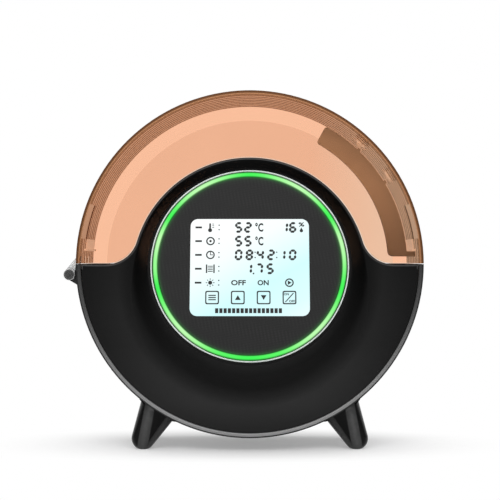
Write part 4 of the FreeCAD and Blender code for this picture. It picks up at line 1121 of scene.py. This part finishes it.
# The shallow step on the inside of the lid's rear wall, drawn further in
def move_step(thing):
    share = LID_STEP / CAD_STEP
    for vertex in thing.data.vertices:
        x, deep, z = (vertex.co - HOME) / MM
        if deep > REAR_DEEP and abs(math.hypot(x, z) - CAD_STEP) < 0.06:
            vertex.co = spot(x * share, deep, z * share)


# The holes that the outlet grommets sit in
def round_outlet(at):
    offset = Vector((at.x, at.deep - OUTLET_DEEP, at.z))
    for angle in OUTLET_ANGLES:
        across, rise = on_arc(1.0, angle)
        axis = Vector((across, 0, rise))
        along = offset.dot(axis)
        beside = (offset - axis * along).length
        if along > 100 and beside < OUTLET_RADIUS and abs(at.normal.dot(axis)) < 0.99:
            return True
    return False


# What stands up inside the lid wall: pads, a ledge under each, and slim strips near the front
def on_wall(at, zone):
    front, back, radius, low, high = zone
    return front < at.deep < back and radius < at.radius < LID_INNER and low < at.rise < high


# The inside of the lid wall between its front and the first rib, which takes a dark tint as a painted shade
# line
def on_front_wall(at):
    inside = RIB_TOP < at.radius < WALL_FOOT and WALL_FRONT < at.deep < RIBS_FRONT
    return inside and abs(at.normal.y) < 0.3


# White surroundings for the eye and clear pieces, strips for gloss, even light for the rest
def set_world():
    world = bpy.data.worlds.new("soft_studio")
    bpy.context.scene.world = world
    world.use_nodes = True
    world.node_tree.nodes.clear()

    def background(level):
        node = add(world, "ShaderNodeBackground")
        node.inputs["Color"].default_value = grey(level)
        return node

    path = add(world, "ShaderNodeLightPath")
    coordinates = add(world, "ShaderNodeTexCoord")
    split = add(world, "ShaderNodeSeparateXYZ")
    link(world, coordinates.outputs["Generated"], split.inputs["Vector"])
    towards_front = figure(world, "MULTIPLY", split.outputs["Y"], -1.0)
    bearing = figure(world, "ARCTAN2", split.outputs["X"], towards_front)
    share = figure(world, "MULTIPLY_ADD", bearing, 1 / math.tau, 0.5)
    stops = [(angle / 360 + 0.5, grey(level)) for angle, level in STUDIO_GLOSS]
    gloss = background(1.0)
    link(world, ramp(world, share, stops), gloss.inputs["Color"])
    soft = mix_shaders(world, path.outputs["Is Glossy Ray"], background(LIGHT_LEVEL), gloss)
    seen = figure(world, "MAXIMUM", path.outputs["Is Camera Ray"], path.outputs["Is Transmission Ray"])
    whole = mix_shaders(world, seen, soft, background(1.0))
    link(world, whole.outputs[0], add(world, "ShaderNodeOutputWorld").inputs["Surface"])


def lamp(name, place, aim, power, width, height):
    data = bpy.data.lights.new(name, "AREA")
    data.shape = "RECTANGLE"
    data.size = width
    data.size_y = height
    data.energy = power
    thing = bpy.data.objects.new(name, data)
    thing.location = place
    thing.rotation_euler = (Vector(aim) - Vector(place)).to_track_quat("-Z", "Y").to_euler()
    thing.visible_transmission = False
    bpy.context.collection.objects.link(thing)


# Pale floor that turns to plain white away from the object
def set_floor():
    bpy.ops.object.select_all(action="DESELECT")
    bpy.ops.mesh.primitive_grid_add(x_subdivisions=8, y_subdivisions=8, size=FLOOR_SIZE, location=(0, 0, 0))
    floor = bpy.context.active_object
    floor.name = "pale_floor"
    made = new_finish("pale_floor")
    shader = surface(made, Base_Color=grey(0.93), Roughness=0.7, Specular_IOR_Level=0.2)
    white = add(made, "ShaderNodeEmission")
    white.inputs["Color"].default_value = grey(1.0)
    where = place_coordinates(made, FLOOR_SHADE_MIDDLE, scale=FLOOR_SHADE_REACH)
    near = ramp(made, gradient(made, where, "SPHERICAL"), [(0.0, grey(0)), (0.6, grey(0.72))], "EASE")
    path = add(made, "ShaderNodeLightPath")
    clear = figure(made, "MAXIMUM", path.outputs["Is Glossy Ray"], path.outputs["Is Transmission Ray"])
    seen = figure(made, "MAXIMUM", path.outputs["Is Camera Ray"], clear)
    share = figure(made, "MULTIPLY", figure(made, "SUBTRACT", 1.0, near), seen)
    show(made, mix_shaders(made, share, shader, white))
    paint(floor, made)


set_camera()
set_world()
for settings in LAMPS:
    lamp(*settings)
set_floor()

# Front plate with painted shade round the pod and painted light low down
front_black_painted_shade = front_shell_painted_shade_finish()
# Lighter grey for the arch's rounded edge: a painted highlight
front_bevel_painted_highlight = moulded_plastic("front_bevel_painted_highlight", grey(0.024), grey(0.03), 0.4, specular=0.2)
black_shell = moulded_plastic("black_shell", grey(0.009), grey(0.012), 0.36, specular=0.35)
rim_painted_sheen = tub_edge_painted_sheen_finish()
# Feet with painted highlight bands
foot_gloss = {"left": foot_finish("foot_painted_highlight_left", -1), "right": foot_finish("foot_painted_highlight_right", 1)}
lid_clear = clear_plastic("lid_clear", tone(0.985, 0.727, 0.582), 0.0, 1.15)
# The lid's inner wall, rim and ribs are painted paler to the right as painted light, and the rim is painted
# darker low down as painted shade
lid_inner = clear_plastic("lid_inner", tone(0.79, 0.545, 0.415), 0.0, 1.15,
                          right_painted_light_tint=tone(0.765, 0.74, 0.67))
lid_rim = clear_plastic("lid_rim", tone(0.61, 0.41, 0.295), 0.0, 1.0,
                        painted_shade_heights=[(0, 0.82), (22, 0.88), (43, 1.0)], right_painted_light_tint=tone(0.585, 0.47, 0.375))
lid_rib = clear_plastic("lid_rib", tone(0.44, 0.325, 0.245), 0.0, 1.0, right_painted_light_tint=tone(0.425, 0.375, 0.31))
# Dark tint for the inside of the lid wall near its front: a painted shade line
lid_painted_shade_line = clear_plastic("lid_painted_shade_line", tone(0.14, 0.068, 0.028), 0.0, 1.0)
# Lid front edge with painted shade
lid_edge = lid_edge_painted_shade_finish()
# Opaque dark brown on the lid's lower faces at the seam: painted shade between lid and tub
lid_seam_painted_shade = moulded_plastic("lid_seam_painted_shade", tone(0.2, 0.09, 0.05), tone(0.24, 0.11, 0.06), 0.4, specular=0.2)
lid_pad = clear_plastic("lid_pad", tone(0.97, 0.9, 0.8), 0.3, 1.1, 0.5)
outlet_clear = clear_plastic("outlet_clear", tone(1.0, 0.98, 0.96), 0.0, 1.0)
lug_milky = lug_finish()
# Brown guide plate, painted darker low down as painted shade
guide_brown = clear_plastic("guide_brown", tone(0.365, 0.34, 0.268), 0.2, 1.1, 0.2,
                            [(15, 0.62), (22, 0.66), (31, 0.74), (42, 0.86), (60, 1.0)])
# Cream outer edge of the guide plate: a painted highlight
guide_edge_painted_highlight = moulded_plastic("guide_edge_painted_highlight", tone(0.95, 0.9, 0.84), tone(1.0, 0.96, 0.9), 0.3, strength=0.05)
screen_ink = moulded_plastic("screen_ink", grey(0.018), grey(0.026), 0.5, specular=0.15)
silicone = clear_plastic("silicone_milky", tone(0.93, 0.91, 0.88), 0.0, 1.0, 0.6)
trim_silver = moulded_plastic("trim_silver", tone(0.44, 0.48, 0.46), tone(0.5, 0.54, 0.52), 0.3,
                              strength=0.02)
steel = metal("steel", grey(0.42), grey(0.55), 0.3)
pin_steel = metal("pin_steel", grey(0.05), grey(0.09), 0.4)
tray_metal = moulded_plastic("tray_metal", tone(0.05, 0.05, 0.055), tone(0.068, 0.068, 0.073), 0.4)
heater_fins = metal("heater_fins", grey(0.55), grey(0.7), 0.4)
brass = metal("spacer_brass", tone(0.62, 0.42, 0.14), tone(0.75, 0.52, 0.2), 0.3)
board_green = moulded_plastic("board_green", tone(0.01, 0.08, 0.03), tone(0.015, 0.11, 0.04), 0.35)
part_black = moulded_plastic("part_black", grey(0.01), grey(0.016), 0.4)
seal_rubber = moulded_plastic("seal_rubber", grey(0.012), grey(0.018), 0.7)
roller_white = moulded_plastic("roller_white", grey(0.72), grey(0.8), 0.4)
fuse_body = moulded_plastic("fuse_body", tone(0.8, 0.77, 0.7), tone(0.87, 0.84, 0.77), 0.25)

front_cover(front_black_painted_shade, front_bevel_painted_highlight)
tub = skin("base_tub", black_shell, "black_shell")
# The tub's turned front edge takes the painted sheen
paint(tub, black_shell, rim_painted_sheen)
repaint(tub, 1, lambda at: at.deep < BEVEL_DEEP and at.radius > TUB_EDGE_FROM)

lid = skin("lid_shell", lid_clear, "amber_clear")
move_step(lid)
# Finishes of the lid by zone, where a later zone wins over an earlier one
lid_zones = [
    (lid_inner, lambda at: STEP_FRONT < at.deep < STEP_BACK and abs(at.normal.y) > 0.9),
    (lid_rim, lambda at: at.radius > RIM_FROM and abs(at.normal.y) < 0.8),
    (lid_rib, lambda at: RIB_TOP < at.radius < RIB_FOOT and RIBS_FRONT < at.deep < RIBS_BACK),
    (lid_edge, lambda at: at.deep < BEVEL_DEEP and at.radius > LID_EDGE_FROM and 0.5 < -at.normal.y < 0.9),
    (lug_milky, lambda at: at.radius > LUG_FROM or (at.x < LUG_LEFT and at.z < LUG_TOP)),
    (outlet_clear, lambda at: at.radius > LUG_FROM and at.deep > OUTLET_DEEP),
    # The lid's lower faces at the seam take the painted shade
    (lid_seam_painted_shade, lambda at: at.normal.z < -0.6 and at.z < SEAM_TOP and at.x > SEAM_LEFT),
    (lid_painted_shade_line, on_front_wall),
    (lid_rib, lambda at: on_wall(at, STRIP_ZONE)),
    (lid_pad, lambda at: on_wall(at, PAD_ZONE) or on_wall(at, LEDGE_ZONE)),
    (outlet_clear, round_outlet),
]
lid_finishes = [lid_clear, lid_inner, lid_rim, lid_rib, lid_edge, lug_milky, lid_seam_painted_shade, lid_pad, outlet_clear,
                lid_painted_shade_line]
paint(lid, *lid_finishes)
for finish, wanted in lid_zones:
    repaint(lid, lid_finishes.index(finish), wanted)

guide_plate(guide_brown, guide_edge_painted_highlight)
for node in ("outlet_grommet_upper", "outlet_grommet_lower", "outlet_plug"):
    skin(node, silicone, "silicone")
pod_ring("trim_ring_band", "trim_ring", ring_corners(TRIM_RADIUS, TRIM_WIDTH, -SEAT_DEPTH, TRIM_PROUD), 0.35,
         trim_silver, "trim_silver")
pod_ring("light_ring_guide", "light_ring", ring_corners(LIGHT_RADIUS, LIGHT_WIDTH, LIGHT_BACK, LIGHT_PROUD),
         0.8, light_ring_finish(), "light_green")
skin("screen_fascia", fascia_finish(), "fascia_grey")
skin("lcd_panel", screen_finish(), "screen_glass")
screen_marks(screen_ink)
skin("pod_back_cover", black_shell, "black_shell")
for node in ("lcd_module", "board_parts", "fan_frame", "fan_rotor"):
    skin(node, part_black, "part_black")
for node in ("led_board", "main_board", "humidity_sensor"):
    skin(node, board_green, "board_green")
skin("hinge_pins", pin_steel, "steel")
for node in ("axle_clips", "tray_screws", "foot_screws", "cover_screws", "back_cover_screws",
             "roller_axle_left", "roller_axle_right"):
    skin(node, steel, "steel")
for word in ("left", "right"):
    skin(f"roller_bracket_{word}", part_black, "bracket_black")
    skin(f"heater_{word}", heater_fins, "heater_fins")
    for place in ("front", "rear"):
        skin(f"roller_{place}_{word}", roller_white, "roller_white")
        skin(f"foot_{place}_{word}", foot_gloss[word], "foot_gloss")
skin("board_spacers", brass, "spacer_brass")
for node in ("lid_gasket", "foot_pads"):
    skin(node, seal_rubber, "seal_rubber")
skin("floor_tray", tray_metal, "tray_metal")
skin("dc_jack", part_black, "jack_black")
skin("thermal_fuse", fuse_body, "fuse_body")

bpy.context.scene.view_settings.view_transform = "Standard"
